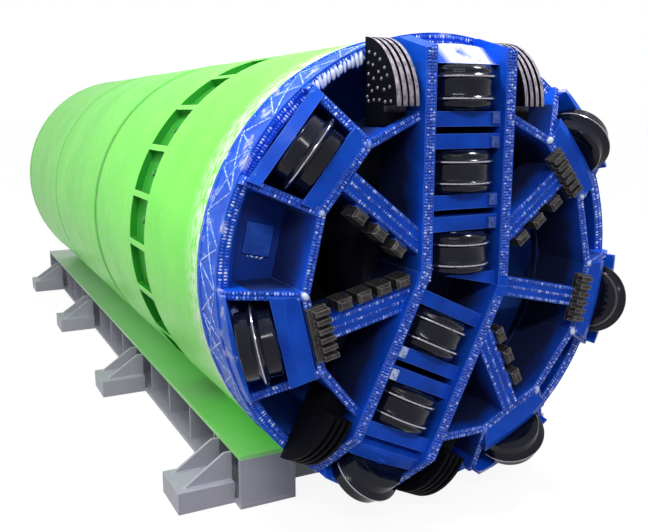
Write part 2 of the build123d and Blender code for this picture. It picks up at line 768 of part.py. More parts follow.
save(
    beam_plates(BEAM_WIDTH, BEAM_PLATE, beam_middle, BEAM_TOP - BEAM_PLATE, BEAM_START, beam_length),
    "cradle_top_plates",
)
save(beam_plates(BEAM_WIDTH, BEAM_PLATE, beam_middle, 0, BEAM_START, beam_length), "cradle_base_plates")
save(
    beam_plates(BEAM_PLATE, web_height, BEAM_INNER + BEAM_PLATE / 2, BEAM_PLATE, BEAM_START, beam_length),
    "cradle_webs",
)

end_width = BEAM_WIDTH - BEAM_PLATE
rib_width = end_width - RIB_INSET
with BuildPart() as cradle_ribs:
    end_middle = BEAM_INNER + BEAM_PLATE + end_width / 2
    for start in (BEAM_START, BEAM_END - BEAM_PLATE):
        add(beam_plates(end_width, web_height, end_middle, BEAM_PLATE, start, BEAM_PLATE))
    rib_count = int((beam_length - RIB_SPACING) / RIB_SPACING)
    rib_middle = BEAM_INNER + BEAM_PLATE + rib_width / 2
    for rib in range(1, rib_count + 1):
        start = BEAM_START + rib * RIB_SPACING
        add(beam_plates(rib_width, web_height, rib_middle, BEAM_PLATE, start, GUSSET_PLATE))
save(cradle_ribs.part, "cradle_ribs")

with BuildPart() as cradle_feet:
    for start in FOOT_STARTS:
        with BuildSketch(cradle_station(start)):
            for side in (-1, 1):
                with Locations((side * (beam_outer + FOOT_REACH) / 2, FOOT_HEIGHT / 2)):
                    Rectangle(FOOT_REACH - beam_outer, FOOT_HEIGHT)
        extrude(amount=-FOOT_LENGTH)
        for place in (start + GUSSET_INSET, start + FOOT_LENGTH - GUSSET_INSET - GUSSET_PLATE):
            with BuildSketch(cradle_station(place)):
                for side in (-1, 1):
                    with BuildLine():
                        Polyline(
                            (side * beam_outer, FOOT_HEIGHT),
                            (side * (FOOT_REACH - GUSSET_INSET), FOOT_HEIGHT),
                            (side * (beam_outer + GUSSET_INSET), BEAM_TOP - BEAM_PLATE),
                            (side * beam_outer, BEAM_TOP - BEAM_PLATE),
                            close=True,
                        )
                    make_face()
            extrude(amount=-GUSSET_PLATE)
save(cradle_feet.part, "cradle_feet")

with BuildPart() as cross_members:
    cross_height = AXIS_HEIGHT - CROSS_DROP - CROSS_LIFT
    for start in CROSS_STARTS:
        with BuildSketch(cradle_station(start)):
            with Locations((0, CROSS_LIFT + cross_height / 2)):
                Rectangle(2 * BEAM_INNER, cross_height)
        extrude(amount=-CROSS_LENGTH)
    add(shield_bed(BEAM_START, beam_length), mode=Mode.SUBTRACT)
save(cross_members.part, "cradle_cross_members")

deck_cabinet(CABINET_SIZE, CABINET_X, "control_cabinet")
deck_cabinet(POWER_PACK_SIZE, POWER_PACK_X, "power_pack")
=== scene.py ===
"""Looks of a microtunnel boring machine on its cradle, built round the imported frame.

Metres. +Z is up, the cutterhead faces -Y and the machine's axis runs along +Y.
Cells of the head are counted clockwise from straight up, seen from the front.
"""

import json
import logging
from dataclasses import dataclass, field
from enum import Enum
from math import cos, radians, sin, tau

import bpy
import numpy as np
from mathutils import Matrix, Vector
from mathutils.bvhtree import BVHTree


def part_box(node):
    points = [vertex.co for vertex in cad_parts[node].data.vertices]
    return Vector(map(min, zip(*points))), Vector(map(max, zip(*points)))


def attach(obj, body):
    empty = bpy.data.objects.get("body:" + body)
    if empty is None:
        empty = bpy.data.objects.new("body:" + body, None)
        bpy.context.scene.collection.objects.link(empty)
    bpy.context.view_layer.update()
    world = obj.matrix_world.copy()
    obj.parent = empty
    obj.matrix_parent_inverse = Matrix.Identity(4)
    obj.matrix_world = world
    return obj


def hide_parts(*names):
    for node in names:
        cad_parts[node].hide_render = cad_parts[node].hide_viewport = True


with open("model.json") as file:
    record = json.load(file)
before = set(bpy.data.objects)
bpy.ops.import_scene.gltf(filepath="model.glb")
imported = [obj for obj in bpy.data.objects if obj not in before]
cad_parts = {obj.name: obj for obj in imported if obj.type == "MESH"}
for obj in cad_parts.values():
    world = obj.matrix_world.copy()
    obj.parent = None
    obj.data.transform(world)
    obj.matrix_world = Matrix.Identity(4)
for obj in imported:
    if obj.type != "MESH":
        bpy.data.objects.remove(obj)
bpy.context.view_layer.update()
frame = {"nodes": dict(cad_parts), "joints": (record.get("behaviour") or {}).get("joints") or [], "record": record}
log = logging.getLogger("tunnel_machine")
MM = 0.001
UP = Vector((0, 0, 1))
BACK = Vector((0, 1, 0))
RIGHT = Vector((1, 0, 0))
Tree = bpy.types.NodeTree
Socket = bpy.types.NodeSocket
Piece = bpy.types.Object


def joint_row(name: str) -> dict:
    """Finds a joint of the frame by its name."""
    return next(row for row in frame["joints"] if row["name"] == name)


_, HEAD_JOINT, AXIS_HEIGHT = joint_row("head_spin")["pos_m"]


def linear(hex_colour: str) -> tuple[float, float, float, float]:
    """Turns an sRGB hex colour into Blender's linear colour.

    Args:
        hex_colour: Six hex digits after a hash mark.

    Returns:
        Red, green, blue and an alpha of 1.
    """
    parts = [int(hex_colour[i : i + 2], 16) / 255 for i in (1, 3, 5)]
    channels = [c / 12.92 if c <= 0.04045 else ((c + 0.055) / 1.055) ** 2.4 for c in parts]
    return (*channels, 1.0)


def add_node(tree: Tree, kind: str, inputs: dict | None = None, output: int | str = 0) -> Socket | None:
    """Adds a node to a tree, sets it and joins it.

    Args:
        tree: The material's or world's node tree.
        kind: The node type's name after ShaderNode.
        inputs: Settings by name, and values or sockets by the input's name or number.
        output: Name or number of the output that is wanted.

    Returns:
        That output, or None for a node without outputs.
    """
    node = tree.nodes.new("ShaderNode" + kind)
    for key, value in (inputs or {}).items():
        if isinstance(value, Socket):
            tree.links.new(value, node.inputs[key])
        elif isinstance(key, str) and key not in node.inputs and hasattr(node, key):
            setattr(node, key, value)
        else:
            node.inputs[key].default_value = value
    return node.outputs[output] if node.outputs else None


def ramp(tree: Tree, factor: Socket, stops: list[tuple]) -> Socket:
    """Colours a factor.

    Args:
        tree: The material's node tree.
        factor: The factor, from 0 to 1.
        stops: Place and linear colour of each stop.

    Returns:
        The colour.
    """
    colour = add_node(tree, "ValToRGB", {"Fac": factor})
    elements = colour.node.color_ramp.elements
    while len(elements) < len(stops):
        elements.new(0.5)
    for element, (place, tint) in zip(elements, stops):
        element.position = place
        element.color = tint
    return colour


def worn_and_lit_edges(tree: Tree, reach_mm: float, share: float) -> Socket:
    """Finds the edges of a piece by how far a rounded normal leaves the true one; the mask pales them, as rubbed
    paint and as a painted highlight.

    Args:
        tree: The material's node tree.
        reach_mm: How far from the edge the wear goes.
        share: The mask's greatest value.

    Returns:
        A mask that is 0 on flat places.
    """
    rounded = add_node(tree, "Bevel", {"samples": 4, "Radius": reach_mm * MM})
    true = add_node(tree, "NewGeometry", output="Normal")
    agree = add_node(tree, "VectorMath", {"operation": "DOT_PRODUCT", 0: rounded, 1: true}, "Value")
    return add_node(
        tree, "MapRange",
        {"From Min": 0.995, "From Max": 0.85, "To Min": 0.0, "To Max": share, "Value": agree},
    )


def new_material(name: str) -> tuple[bpy.types.Material, Tree, Socket]:
    """Makes an empty node material.

    Args:
        name: The material's name.

    Returns:
        The material, its tree and the place of each point of the surface.
    """
    material = bpy.data.materials.new(name)
    material.use_nodes = True
    tree = material.node_tree
    tree.nodes.clear()
    return material, tree, add_node(tree, "TexCoord", output="Object")


def axes_of(tree: Tree, vector: Socket) -> bpy.types.NodeOutputs:
    """Splits a vector into its X, Y and Z."""
    return add_node(tree, "SeparateXYZ", {"Vector": vector}).node.outputs


def from_axis(tree: Tree, axes: bpy.types.NodeOutputs) -> tuple[Socket, Socket]:
    """Measures places from the machine's axis.

    Args:
        tree: The material's node tree.
        axes: The places' X, Y and Z.

    Returns:
        Height over the axis and distance from it.
    """
    height = add_node(tree, "Math", {"operation": "SUBTRACT", 0: axes["Z"], 1: AXIS_HEIGHT})
    flat = add_node(tree, "CombineXYZ", {"X": axes["X"], "Y": height})
    return height, add_node(tree, "VectorMath", {"operation": "LENGTH", 0: flat}, "Value")


@dataclass(frozen=True)
class Enamel:
    """Two-pack machinery enamel, sprayed on rolled and welded plate.

    The eye sees a glossy film that follows the plate, with the faint orange peel of the spray gun,
    thicker and thinner patches of colour, and dust that dulls the gloss.
    """

    name: str
    colour: str
    thin: str
    dust: str
    roughness: float = 0.28
    patch_mm: float = 420.0
    peel_mm: float = 9.0
    peel_depth: float = 0.6
    dust_share: float = 0.25
    coat: float = 0.12
    gloss: float = 0.3
    # Paler colour along the edges: rubbed paint and a painted highlight.
    edge: str = ""
    edge_mm: float = 4.0
    edge_share: float = 0.6

    def build(self) -> bpy.types.Material:
        """Makes the material.

        Returns:
            The enamel.
        """
        material, tree, place = new_material(self.name)
        patches = add_node(
            tree, "TexNoise",
            {"Scale": 1 / (self.patch_mm * MM), "Detail": 4.0, "Roughness": 0.55, "Vector": place},
        )
        colour = ramp(tree, patches, [(0.35, linear(self.colour)), (0.68, linear(self.thin))])
        dust = add_node(tree, "TexNoise", {"Scale": 14.0, "Detail": 8.0, "Roughness": 0.7, "Vector": place})
        dusty = add_node(
            tree, "MapRange",
            {"From Min": 0.5, "From Max": 0.78, "To Min": 0.0, "To Max": self.dust_share, "Value": dust},
        )
        mixed = add_node(tree, "Mix", {"data_type": "RGBA", 0: dusty, 6: colour, 7: linear(self.dust)}, 2)
        painted = self.paint(tree, place, mixed)
        # Edges paler: partly rubbed paint, partly a painted highlight along them.
        if self.edge:
            edges = worn_and_lit_edges(tree, self.edge_mm, self.edge_share)
            painted = add_node(
                tree, "Mix", {"data_type": "RGBA", 0: edges, 6: painted, 7: linear(self.edge)}, 2
            )
        rough = add_node(
            tree, "MapRange",
            {"From Min": 0.3, "From Max": 0.75, "To Min": self.roughness, "To Max": self.roughness + 0.22,
             "Value": dust},
        )
        peel = add_node(tree, "TexNoise", {"Scale": 1 / (self.peel_mm * MM), "Detail": 2.0, "Vector": place})
        bump = add_node(tree, "Bump", {"Strength": 0.35, "Distance": self.peel_depth * MM, "Height": peel})
        shader = add_node(
            tree, "BsdfPrincipled",
            {"Coat Weight": self.coat, "Coat Roughness": 0.08, "Specular IOR Level": self.gloss,
             "Base Color": painted, "Roughness": rough, "Normal": bump},
        )
        add_node(tree, "OutputMaterial", {"Surface": shader})
        return material

    def paint(self, tree: Tree, place: Socket, base: Socket) -> Socket:
        """Leaves the paint as it is, for the plain enamels."""
        return base


@dataclass(frozen=True)
class ShieldEnamel(Enamel):
    """Enamel of the shield cans: green outside, dark primer inside and in the seams.

    The eye sees pale dry streaks on the strip behind the head, where the spray overlapped the weld work,
    and faint rolling marks round the cans. Places along the machine count from the head's joint.
    """

    primer: str = "#23282a"
    streak: str = "#eefbe4"
    # Darker green for the window pockets' walls: painted shade of the recess.
    window: str = "#1f8a22"
    shade: str = "#0f3a14"
    seam: float = 2.142
    seam_soot: float = 0.017
    outer: float = 0.997
    pocket_floor: float = 0.9551
    strip: float = 0.2
    room: str = "#c9ccc2"
    room_start: float = 2.16
    window_start: float = 0.86
    window_end: float = 1.21

    def paint(self, tree: Tree, place: Socket, base: Socket) -> Socket:
        """Lays the streaks, the primer and the painted shade of the window pockets' walls over the plain green.

        Args:
            tree: The material's node tree.
            place: Object coordinates.
            base: The green so far.

        Returns:
            The colour of every place on the cans.
        """
        axes = axes_of(tree, place)
        along = axes["Y"]
        _, reach = from_axis(tree, axes)
        stretched = add_node(tree, "Mapping", {"Scale": (22.0, 60.0, 22.0), "Vector": place})
        streaks = add_node(tree, "TexNoise", {"Scale": 1.0, "Detail": 5.0, "Vector": stretched})
        near = add_node(
            tree, "MapRange",
            {"From Min": HEAD_JOINT + self.strip, "From Max": HEAD_JOINT, "To Min": 0.0, "To Max": 1.0,
             "Value": along},
        )
        torn = add_node(tree, "MapRange", {"From Min": 0.43, "From Max": 0.55, "Value": streaks})
        share = add_node(tree, "Math", {"operation": "MULTIPLY", 0: near, 1: torn})
        streaked = add_node(tree, "Mix", {"data_type": "RGBA", 0: share, 6: base, 7: linear(self.streak)}, 2)
        inside = add_node(tree, "Math", {"operation": "LESS_THAN", 0: reach, 1: self.outer})
        middle = HEAD_JOINT + (self.window_start + self.window_end) / 2
        half = (self.window_end - self.window_start) / 2
        behind = add_node(tree, "Math", {"operation": "COMPARE", 0: along, 1: middle, 2: half})
        skin = add_node(tree, "Math", {"operation": "GREATER_THAN", 0: reach, 1: self.pocket_floor})
        pocket = add_node(tree, "Math", {"operation": "MULTIPLY", 0: behind, 1: skin})
        dark = add_node(tree, "Math", {"operation": "SUBTRACT", "use_clamp": True, 0: inside, 1: pocket})
        aft = add_node(tree, "Math", {"operation": "GREATER_THAN", 0: along, 1: HEAD_JOINT + self.room_start})
        lining = add_node(
            tree, "Mix", {"data_type": "RGBA", 0: aft, 6: linear(self.primer), 7: linear(self.room)}, 2
        )
        both = add_node(tree, "Mix", {"data_type": "RGBA", 0: dark, 6: streaked, 7: lining}, 2)
        # Painted shade: the window pockets' walls get the darker green.
        pocket_wall_shade = add_node(tree, "Math", {"operation": "MULTIPLY", 0: pocket, 1: inside})
        windows = add_node(tree, "Mix", {"data_type": "RGBA", 0: pocket_wall_shade, 6: both, 7: linear(self.window)}, 2)
        seam = add_node(
            tree, "Math", {"operation": "COMPARE", 0: along, 1: HEAD_JOINT + self.seam, 2: self.seam_soot}
        )
        soot = add_node(tree, "Math", {"operation": "MULTIPLY", 0: seam, 1: 0.95})
        return add_node(tree, "Mix", {"data_type": "RGBA", 0: soot, 6: windows, 7: linear(self.shade)}, 2)


@dataclass(frozen=True)
class HeadEnamel(Enamel):
    """Blue enamel of the cutterhead, bright on its face, with painted shade darkening it down its openings."""

    # Colour of the painted shade down the openings.
    recess_shade: str = "#20233a"
    overspray: str = "#2467da"
    # Pale colour of the rim's splashed patches and of the painted highlight on the arm's end block.
    scuff_and_glare: str = "#cfcdea"
    ring: float = 0.7
    shaded_to: float = 0.9
    rim: float = 0.985
    block_middle: float = 0.025

    def paint(self, tree: Tree, place: Socket, base: Socket) -> Socket:
        """Paints shade over what stands back from the face, and lays the sprays on the rim and a painted highlight
        on the end block.

        Args:
            tree: The material's node tree.
            place: Object coordinates.
            base: The blue so far.

        Returns:
            The colour of every place on the head.
        """
        axes = axes_of(tree, place)
        height, reach = from_axis(tree, axes)
        # Painted shade: the blue darkens with depth behind the face, inside the ring and in the openings beyond
        # it, less on faces turned to the front.
        smear = add_node(tree, "TexNoise", {"Scale": 11.0, "Detail": 5.0, "Vector": place})
        depth = add_node(tree, "Math", {"operation": "MULTIPLY_ADD", 0: smear, 1: 0.12, 2: axes["Y"]})
        within = add_node(
            tree, "MapRange",
            {"From Min": HEAD_JOINT - 0.4, "From Max": HEAD_JOINT - 0.27, "To Min": 0.0, "To Max": 0.95,
             "Value": depth},
        )
        without = add_node(
            tree, "MapRange",
            {"From Min": HEAD_JOINT - 0.4, "From Max": HEAD_JOINT - 0.24, "To Min": 0.0, "To Max": 0.88,
             "Value": depth},
        )
        facing = axes_of(tree, add_node(tree, "NewGeometry", output="Normal"))
        turned_away = add_node(
            tree, "MapRange",
            {"From Min": -0.9, "From Max": -0.4, "To Min": 0.7, "To Max": 1.0, "Value": facing["Y"]},
        )
        without = add_node(tree, "Math", {"operation": "MULTIPLY", 0: without, 1: turned_away})
        inner = add_node(tree, "Math", {"operation": "LESS_THAN", 0: reach, 1: self.ring})
        share = add_node(tree, "Mix", {0: inner, 2: without, 3: within})
        outside = add_node(tree, "Math", {"operation": "LESS_THAN", 0: reach, 1: self.shaded_to})
        recess_shade_share = add_node(tree, "Math", {"operation": "MULTIPLY", 0: share, 1: outside})
        mixed = add_node(tree, "Mix", {"data_type": "RGBA", 0: recess_shade_share, 6: base, 7: linear(self.recess_shade)}, 2)
        cloud = add_node(tree, "TexNoise", {"Scale": 9.0, "Detail": 6.0, "Roughness": 0.65, "Vector": place})
        rimmed = self.spray_rim(tree, mixed, cloud, reach)
        return self.glare_on_block(tree, rimmed, cloud, (axes["X"], axes["Y"], height))

    def spray_rim(self, tree: Tree, base: Socket, cloud: Socket, reach: Socket) -> Socket:
        """Lays thick and splashed patches on the rim's outer face.

        Args:
            tree: The material's node tree.
            base: The head's colour so far.
            cloud: Noise that spreads the patches.
            reach: Distance from the axis.

        Returns:
            The colour with the patches.
        """
        far = add_node(tree, "Math", {"operation": "GREATER_THAN", 0: reach, 1: self.rim})
        for start, end, most, tint in ((0.42, 0.62, 0.75, self.overspray), (0.57, 0.64, 0.7, self.scuff_and_glare)):
            patch = add_node(
                tree, "MapRange", {"From Min": start, "From Max": end, "To Max": most, "Value": cloud}
            )
            share = add_node(tree, "Math", {"operation": "MULTIPLY", 0: patch, 1: far})
            base = add_node(tree, "Mix", {"data_type": "RGBA", 0: share, 6: base, 7: linear(tint)}, 2)
        return base

    def glare_on_block(self, tree: Tree, base: Socket, cloud: Socket, place: tuple[Socket, ...]) -> Socket:
        """Paints a highlight, where the light glares, on the block at the top end of the main arm.

        Args:
            tree: The material's node tree.
            base: The head's colour so far.
            cloud: Noise that breaks the painted highlight up.
            place: X, Y and the height over the axis.

        Returns:
            The colour with the painted highlight.
        """
        # Painted highlight where the light glares on the block at the top of the main arm.
        x, y, height = place
        shifted = add_node(tree, "Math", {"operation": "SUBTRACT", 0: x, 1: self.block_middle})
        sideways = add_node(tree, "Math", {"operation": "ABSOLUTE", 0: shifted})
        spot = add_node(tree, "Math", {"operation": "LESS_THAN", 0: y, 1: HEAD_JOINT - 0.3})
        for start, end, most, value in (
            (0.845, 0.87, 1.0, height), (0.13, 0.09, 1.0, sideways), (0.3, 0.44, 0.9, cloud),
        ):
            mask = add_node(
                tree, "MapRange", {"From Min": start, "From Max": end, "To Max": most, "Value": value}
            )
            spot = add_node(tree, "Math", {"operation": "MULTIPLY", 0: spot, 1: mask})
        return add_node(tree, "Mix", {"data_type": "RGBA", 0: spot, 6: base, 7: linear(self.scuff_and_glare)}, 2)


@dataclass(frozen=True)
class CradleGreen(Enamel):
    """Green on the cradle's top plates, strong near the head and worn to the grey below towards the tail."""

    worn: str = "#c2cdc4"
    green_to: float = -1.4
    grey_from: float = 2.6

    def paint(self, tree: Tree, place: Socket, base: Socket) -> Socket:
        """Wears the green away along the beams.

        Args:
            tree: The material's node tree.
            place: Object coordinates.
            base: The green so far.

        Returns:
            The colour of every place on the plates.
        """
        scrape = add_node(tree, "TexNoise", {"Scale": 3.0, "Detail": 7.0, "Roughness": 0.7, "Vector": place})
        along = axes_of(tree, place)["Y"]
        moved = add_node(tree, "Math", {"operation": "MULTIPLY_ADD", 0: scrape, 1: 2.0, 2: along})
        share = add_node(
            tree, "MapRange",
            {"From Min": self.green_to, "From Max": self.grey_from, "To Min": 0.0, "To Max": 0.8,
             "Value": moved},
        )
        return add_node(tree, "Mix", {"data_type": "RGBA", 0: share, 6: base, 7: linear(self.worn)}, 2)


@dataclass(frozen=True)
class BareSteel:
    """Uncoated steel, cast or forged, worn bright on its high places and dull between them, and paler along its
    edges: rubbed steel with a painted highlight.
    """

    name: str
    bright: str
    dull: str
    roughness: float = 0.38
    metallic: float = 0.85
    grain_mm: float = 30.0
    pit_mm: float = 4.0
    pit_depth: float = 0.4
    gloss: float = 0.5
    # Paler colour along the edges: rubbed steel and a painted highlight.
    edge: str = "#a9a59e"
    edge_mm: float = 3.0
    edge_share: float = 0.75

    def build(self) -> bpy.types.Material:
        """Makes the material.

        Returns:
            The steel.
        """
        material, tree, place = new_material(self.name)
        grain = add_node(
            tree, "TexNoise",
            {"Scale": 1 / (self.grain_mm * MM), "Detail": 6.0, "Roughness": 0.65, "Vector": place},
        )
        colour = ramp(tree, grain, [(0.36, linear(self.dull)), (0.64, linear(self.bright))])
        # Edges paler: partly rubbed steel, partly a painted highlight along them.
        edges = worn_and_lit_edges(tree, self.edge_mm, self.edge_share)
        rubbed_and_lit = add_node(tree, "Mix", {"data_type": "RGBA", 0: edges, 6: colour, 7: linear(self.edge)}, 2)
        rough = add_node(
            tree, "MapRange",
            {"From Min": 0.3, "From Max": 0.7, "To Min": self.roughness + 0.18, "To Max": self.roughness,
             "Value": grain},
        )
        pits = add_node(tree, "TexNoise", {"Scale": 1 / (self.pit_mm * MM), "Detail": 3.0, "Vector": place})
        bump = add_node(tree, "Bump", {"Strength": 0.4, "Distance": self.pit_depth * MM, "Height": pits})
        shader = add_node(
            tree, "BsdfPrincipled",
            {"Metallic": self.metallic, "Specular IOR Level": self.gloss,
             "Base Color": self.paint(tree, place, rubbed_and_lit), "Roughness": rough, "Normal": bump},
        )
        add_node(tree, "OutputMaterial", {"Surface": shader})
        return material

    def paint(self, tree: Tree, place: Socket, base: Socket) -> Socket:
        """Leaves the steel as it is, for the clean pieces."""
        return base


@dataclass(frozen=True)
class BeadEnamel:
    """Enamel over hardfacing beads: each bead's crown is paler than its foot, a painted highlight where the light
    catches the bead.
    """

    name: str
    foot: str
    side: str
    lit_crown: str
    roughness: float = 0.22
    ripple_mm: float = 5.0
    ripple_depth: float = 0.8

    def build(self) -> bpy.types.Material:
        """Makes the material from the beads' own attribute.

        Returns:
            The enamel.
        """
        material, tree, place = new_material(self.name)
        tone = add_node(tree, "Attribute", {"attribute_name": "tone"}, "Fac")
        # Painted highlight: the colour runs from the foot to the pale crown as the attribute grows.
        stops = [(0.1, linear(self.foot)), (0.5, linear(self.side)), (0.95, linear(self.lit_crown))]
        ripple = add_node(
            tree, "TexNoise", {"Scale": 1 / (self.ripple_mm * MM), "Detail": 2.0, "Vector": place}
        )
        bump = add_node(tree, "Bump", {"Strength": 0.4, "Distance": self.ripple_depth * MM, "Height": ripple})
        shader = add_node(
            tree, "BsdfPrincipled",
            {"Roughness": self.roughness, "Coat Weight": 0.15, "Coat Roughness": 0.1,
             "Specular IOR Level": 0.4, "Base Color": ramp(tree, tone, stops), "Normal": bump},
        )
        add_node(tree, "OutputMaterial", {"Surface": shader})
        return material


@dataclass(frozen=True)
class CutterEnamel:
    """Black enamel on forged cutters, rubbed to bright steel where the rings touch; the pale ring tips are also a
    painted highlight of their edges.
    """

    name: str
    paint: str
    thin: str
    steel: str
    roughness: float = 0.2
    nick_mm: float = 7.0

    def build(self) -> bpy.types.Material:
        """Makes the material from the cutters' own attribute.

        Returns:
            The enamel.
        """
        material, tree, place = new_material(self.name)
        film = add_node(tree, "TexNoise", {"Scale": 9.0, "Detail": 5.0, "Roughness": 0.6, "Vector": place})
        paint = ramp(tree, film, [(0.4, linear(self.paint)), (0.7, linear(self.thin))])
        nicks = add_node(tree, "TexNoise", {"Scale": 1 / (self.nick_mm * MM), "Detail": 3.0, "Vector": place})
        # Bright steel on the ring tips: real wear, and a painted highlight along the tips.
        wear = add_node(tree, "Attribute", {"attribute_name": "wear"}, "Fac")
        rubbed_and_lit = add_node(tree, "Math", {"operation": "MULTIPLY_ADD", 0: nicks, 1: 0.5, 2: wear})
        bare_lit_tip = add_node(tree, "MapRange", {"From Min": 1.0, "From Max": 1.22, "Value": rubbed_and_lit})
        colour = add_node(tree, "Mix", {"data_type": "RGBA", 0: bare_lit_tip, 6: paint, 7: linear(self.steel)}, 2)
        rough = add_node(
            tree, "MapRange",
            {"From Min": 0.3, "From Max": 0.75, "To Min": self.roughness, "To Max": self.roughness + 0.12,
             "Value": film},
        )
        shader = add_node(
            tree, "BsdfPrincipled",
            {"Specular IOR Level": 0.2, "Base Color": colour, "Roughness": rough, "Metallic": bare_lit_tip},
        )
        add_node(tree, "OutputMaterial", {"Surface": shader})
        return material


@dataclass(frozen=True)
class ShoeSteel(BareSteel):
    """Hardfacing on the wear shoes: rubbed bright on the upper pair's ribs, with painted shade on the low shoes
    and on every flank.
    """

    shoe_shade: str = "#06070e"
    lit_from: float = 0.72

    def paint(self, tree: Tree, place: Socket, base: Socket) -> Socket:
        """Paints shade over the low shoes and the flanks.

        Args:
            tree: The material's node tree.
            place: Object coordinates.
            base: The steel so far.

        Returns:
            The colour of every place on the shoes.
        """
        top = AXIS_HEIGHT + self.lit_from
        height = axes_of(tree, place)["Z"]
        # Painted shade on the low shoes and on the flanks that face sideways.
        low = add_node(tree, "MapRange", {"From Min": top, "From Max": top - 0.04, "Value": height})
        facing = axes_of(tree, add_node(tree, "NewGeometry", output="Normal"))
        size = add_node(tree, "Math", {"operation": "ABSOLUTE", 0: facing["X"]})
        flank = add_node(tree, "Math", {"operation": "GREATER_THAN", 0: size, 1: 0.8})
        shaded_share = add_node(tree, "Math", {"operation": "MAXIMUM", 0: low, 1: flank})
        return add_node(tree, "Mix", {"data_type": "RGBA", 0: shaded_share, 6: base, 7: linear(self.shoe_shade)}, 2)


class Finish(Enum):
    """Every finish on the machine."""

    SHIELD_GREEN = ShieldEnamel(
        "shield_enamel_green", "#68ea3a", "#7df54c", "#aeea8c", dust_share=0.2, gloss=0.26, coat=0.02,
        edge="#c4f7a6", edge_mm=6.0,
    )
    # The window backs' darker green is painted shade of the recess.
    POCKET_GREEN = Enamel("window_enamel_green", "#1d961d", "#35ad2c", "#4a9a40", roughness=0.4)
    HEAD_BLUE = HeadEnamel(
        "cutterhead_enamel_blue", "#0a45bf", "#1457da", "#4a78d0",
        patch_mm=160.0, gloss=0.08, coat=0.02, dust_share=0.12, edge="#5f8df0", edge_mm=5.0,
    )
    CONE_BLUE = Enamel("crushing_cone_enamel_blue", "#2456c0", "#2f66d2", "#3c5a94", roughness=0.4, gloss=0.2)
    PLATE_BLUE = Enamel(
        "wear_plate_enamel_blue", "#1d45a2", "#2a58c0", "#5f7fc4", patch_mm=60.0, gloss=0.15, coat=0.0,
    )
    WELD_BLUE = BeadEnamel("weld_bead_enamel", "#0b3fae", "#2b62d8", "#dfe9ff")
    LATTICE_BLUE = BeadEnamel("rim_lattice_enamel", "#2257cc", "#6f9bf2", "#cfe0ff")
    # The blue in this black is a painted reflection of the blue head around the cutters.
    CUTTER_BLACK = CutterEnamel("cutter_enamel_black", "#070918", "#121526", "#a9a6b2", roughness=0.09)
    CHAMBER = Enamel(
        "chamber_primer_dark", "#1d1f2a", "#2b2d3b", "#3f414a", roughness=0.6, coat=0.0, gloss=0.15,
    )
    WINDOW_BOLT = BareSteel(
        "window_bolt_enamel", "#4f9a52", "#256b2a",
        metallic=0.0, roughness=0.4, gloss=0.3, edge="#8fca8c", edge_mm=2.0,
    )
    SEAL_RUBBER = Enamel(
        "seam_seal_rubber", "#101210", "#191c19", "#33382f", roughness=0.6, coat=0.0, gloss=0.2,
    )
    SHIELD_WELD = Enamel("shield_weld_enamel", "#4fce30", "#66e043", "#b6f09c", patch_mm=40.0)
    STUD_STEEL = BareSteel("shoe_stud_carbide", "#8d8a94", "#4d4a54", metallic=0.3, roughness=0.3)
    LOCK_BLUE = BareSteel(
        "wedge_lock_enamel", "#3f5fb4", "#1c3a94",
        metallic=0.0, roughness=0.35, gloss=0.3, edge="#a9bdf0", edge_mm=2.5,
    )
    LOCK_STEEL = BareSteel(
        "wedge_lock_steel", "#c9d6f4", "#6f8fd8",
        metallic=0.0, roughness=0.35, gloss=0.3, edge="#eef2ff", edge_mm=2.5,
    )
    TOOTH_STEEL = BareSteel(
        "carbide_and_steel", "#4a4645", "#17161c",
        metallic=0.3, roughness=0.45, gloss=0.3, edge="#b3aca2", edge_mm=4.0,
    )
    SHOE_STEEL = ShoeSteel(
        "hardfacing_steel", "#b0a8b2", "#6a6470", metallic=0.0, roughness=0.6, gloss=0.06, edge="#c9c2cc",
    )
    PIPE_STEEL = Enamel("pipe_primer_grey", "#8d9094", "#9b9ea2", "#b8b4aa", roughness=0.45, coat=0.0)
    JACK_STEEL = BareSteel("jack_steel", "#8c9096", "#55585e")
    DECK_STEEL = BareSteel(
        "chequer_deck_steel", "#a9acaf", "#85888b",
        metallic=0.2, roughness=0.45, gloss=0.3, edge="#d0d2d2", edge_mm=2.0,
    )
    MOTOR_BLUE = Enamel("motor_enamel_blue", "#274a86", "#30589c", "#6d7a90", roughness=0.4)
    CABINET_GREY = Enamel(
        "cabinet_powder_coat_grey", "#c3c6c0", "#cdd0ca", "#aaa79c", roughness=0.45, coat=0.0,
    )
    CRADLE_GREY = Enamel(
        "cradle_enamel_grey", "#a09eac", "#adabb8", "#bdb9b2", roughness=0.42, edge="#d5d4dc", edge_mm=5.0,
    )
    CRADLE_GREEN = CradleGreen(
        "cradle_enamel_green", "#8eea7c", "#a2ee94", "#b4d4aa", roughness=0.4, gloss=0.2,
    )

    def material(self) -> bpy.types.Material:
        """Makes the finish's material the first time, and finds it later."""
        return bpy.data.materials.get(self.value.name) or self.value.build()


SLOT_FINISH = {
    "shield_green": Finish.SHIELD_GREEN,
    "pocket_green": Finish.POCKET_GREEN,
    "head_blue": Finish.HEAD_BLUE,
    "cutter_steel": Finish.CUTTER_BLACK,
    "tooth_steel": Finish.TOOTH_STEEL,
    "shoe_steel": Finish.SHOE_STEEL,
    "inner_steel": Finish.CHAMBER,
    "motor_paint": Finish.MOTOR_BLUE,
    "pipe_steel": Finish.PIPE_STEEL,
    "jack_steel": Finish.JACK_STEEL,
    "deck_steel": Finish.DECK_STEEL,
    "cabinet_paint": Finish.CABINET_GREY,
    "cradle_grey": Finish.CRADLE_GREY,
}


NODE_FINISH = {
    "cradle_top_plates": Finish.CRADLE_GREEN,
    "crushing_cone": Finish.CONE_BLUE,
    "head_hub": Finish.CHAMBER,
}


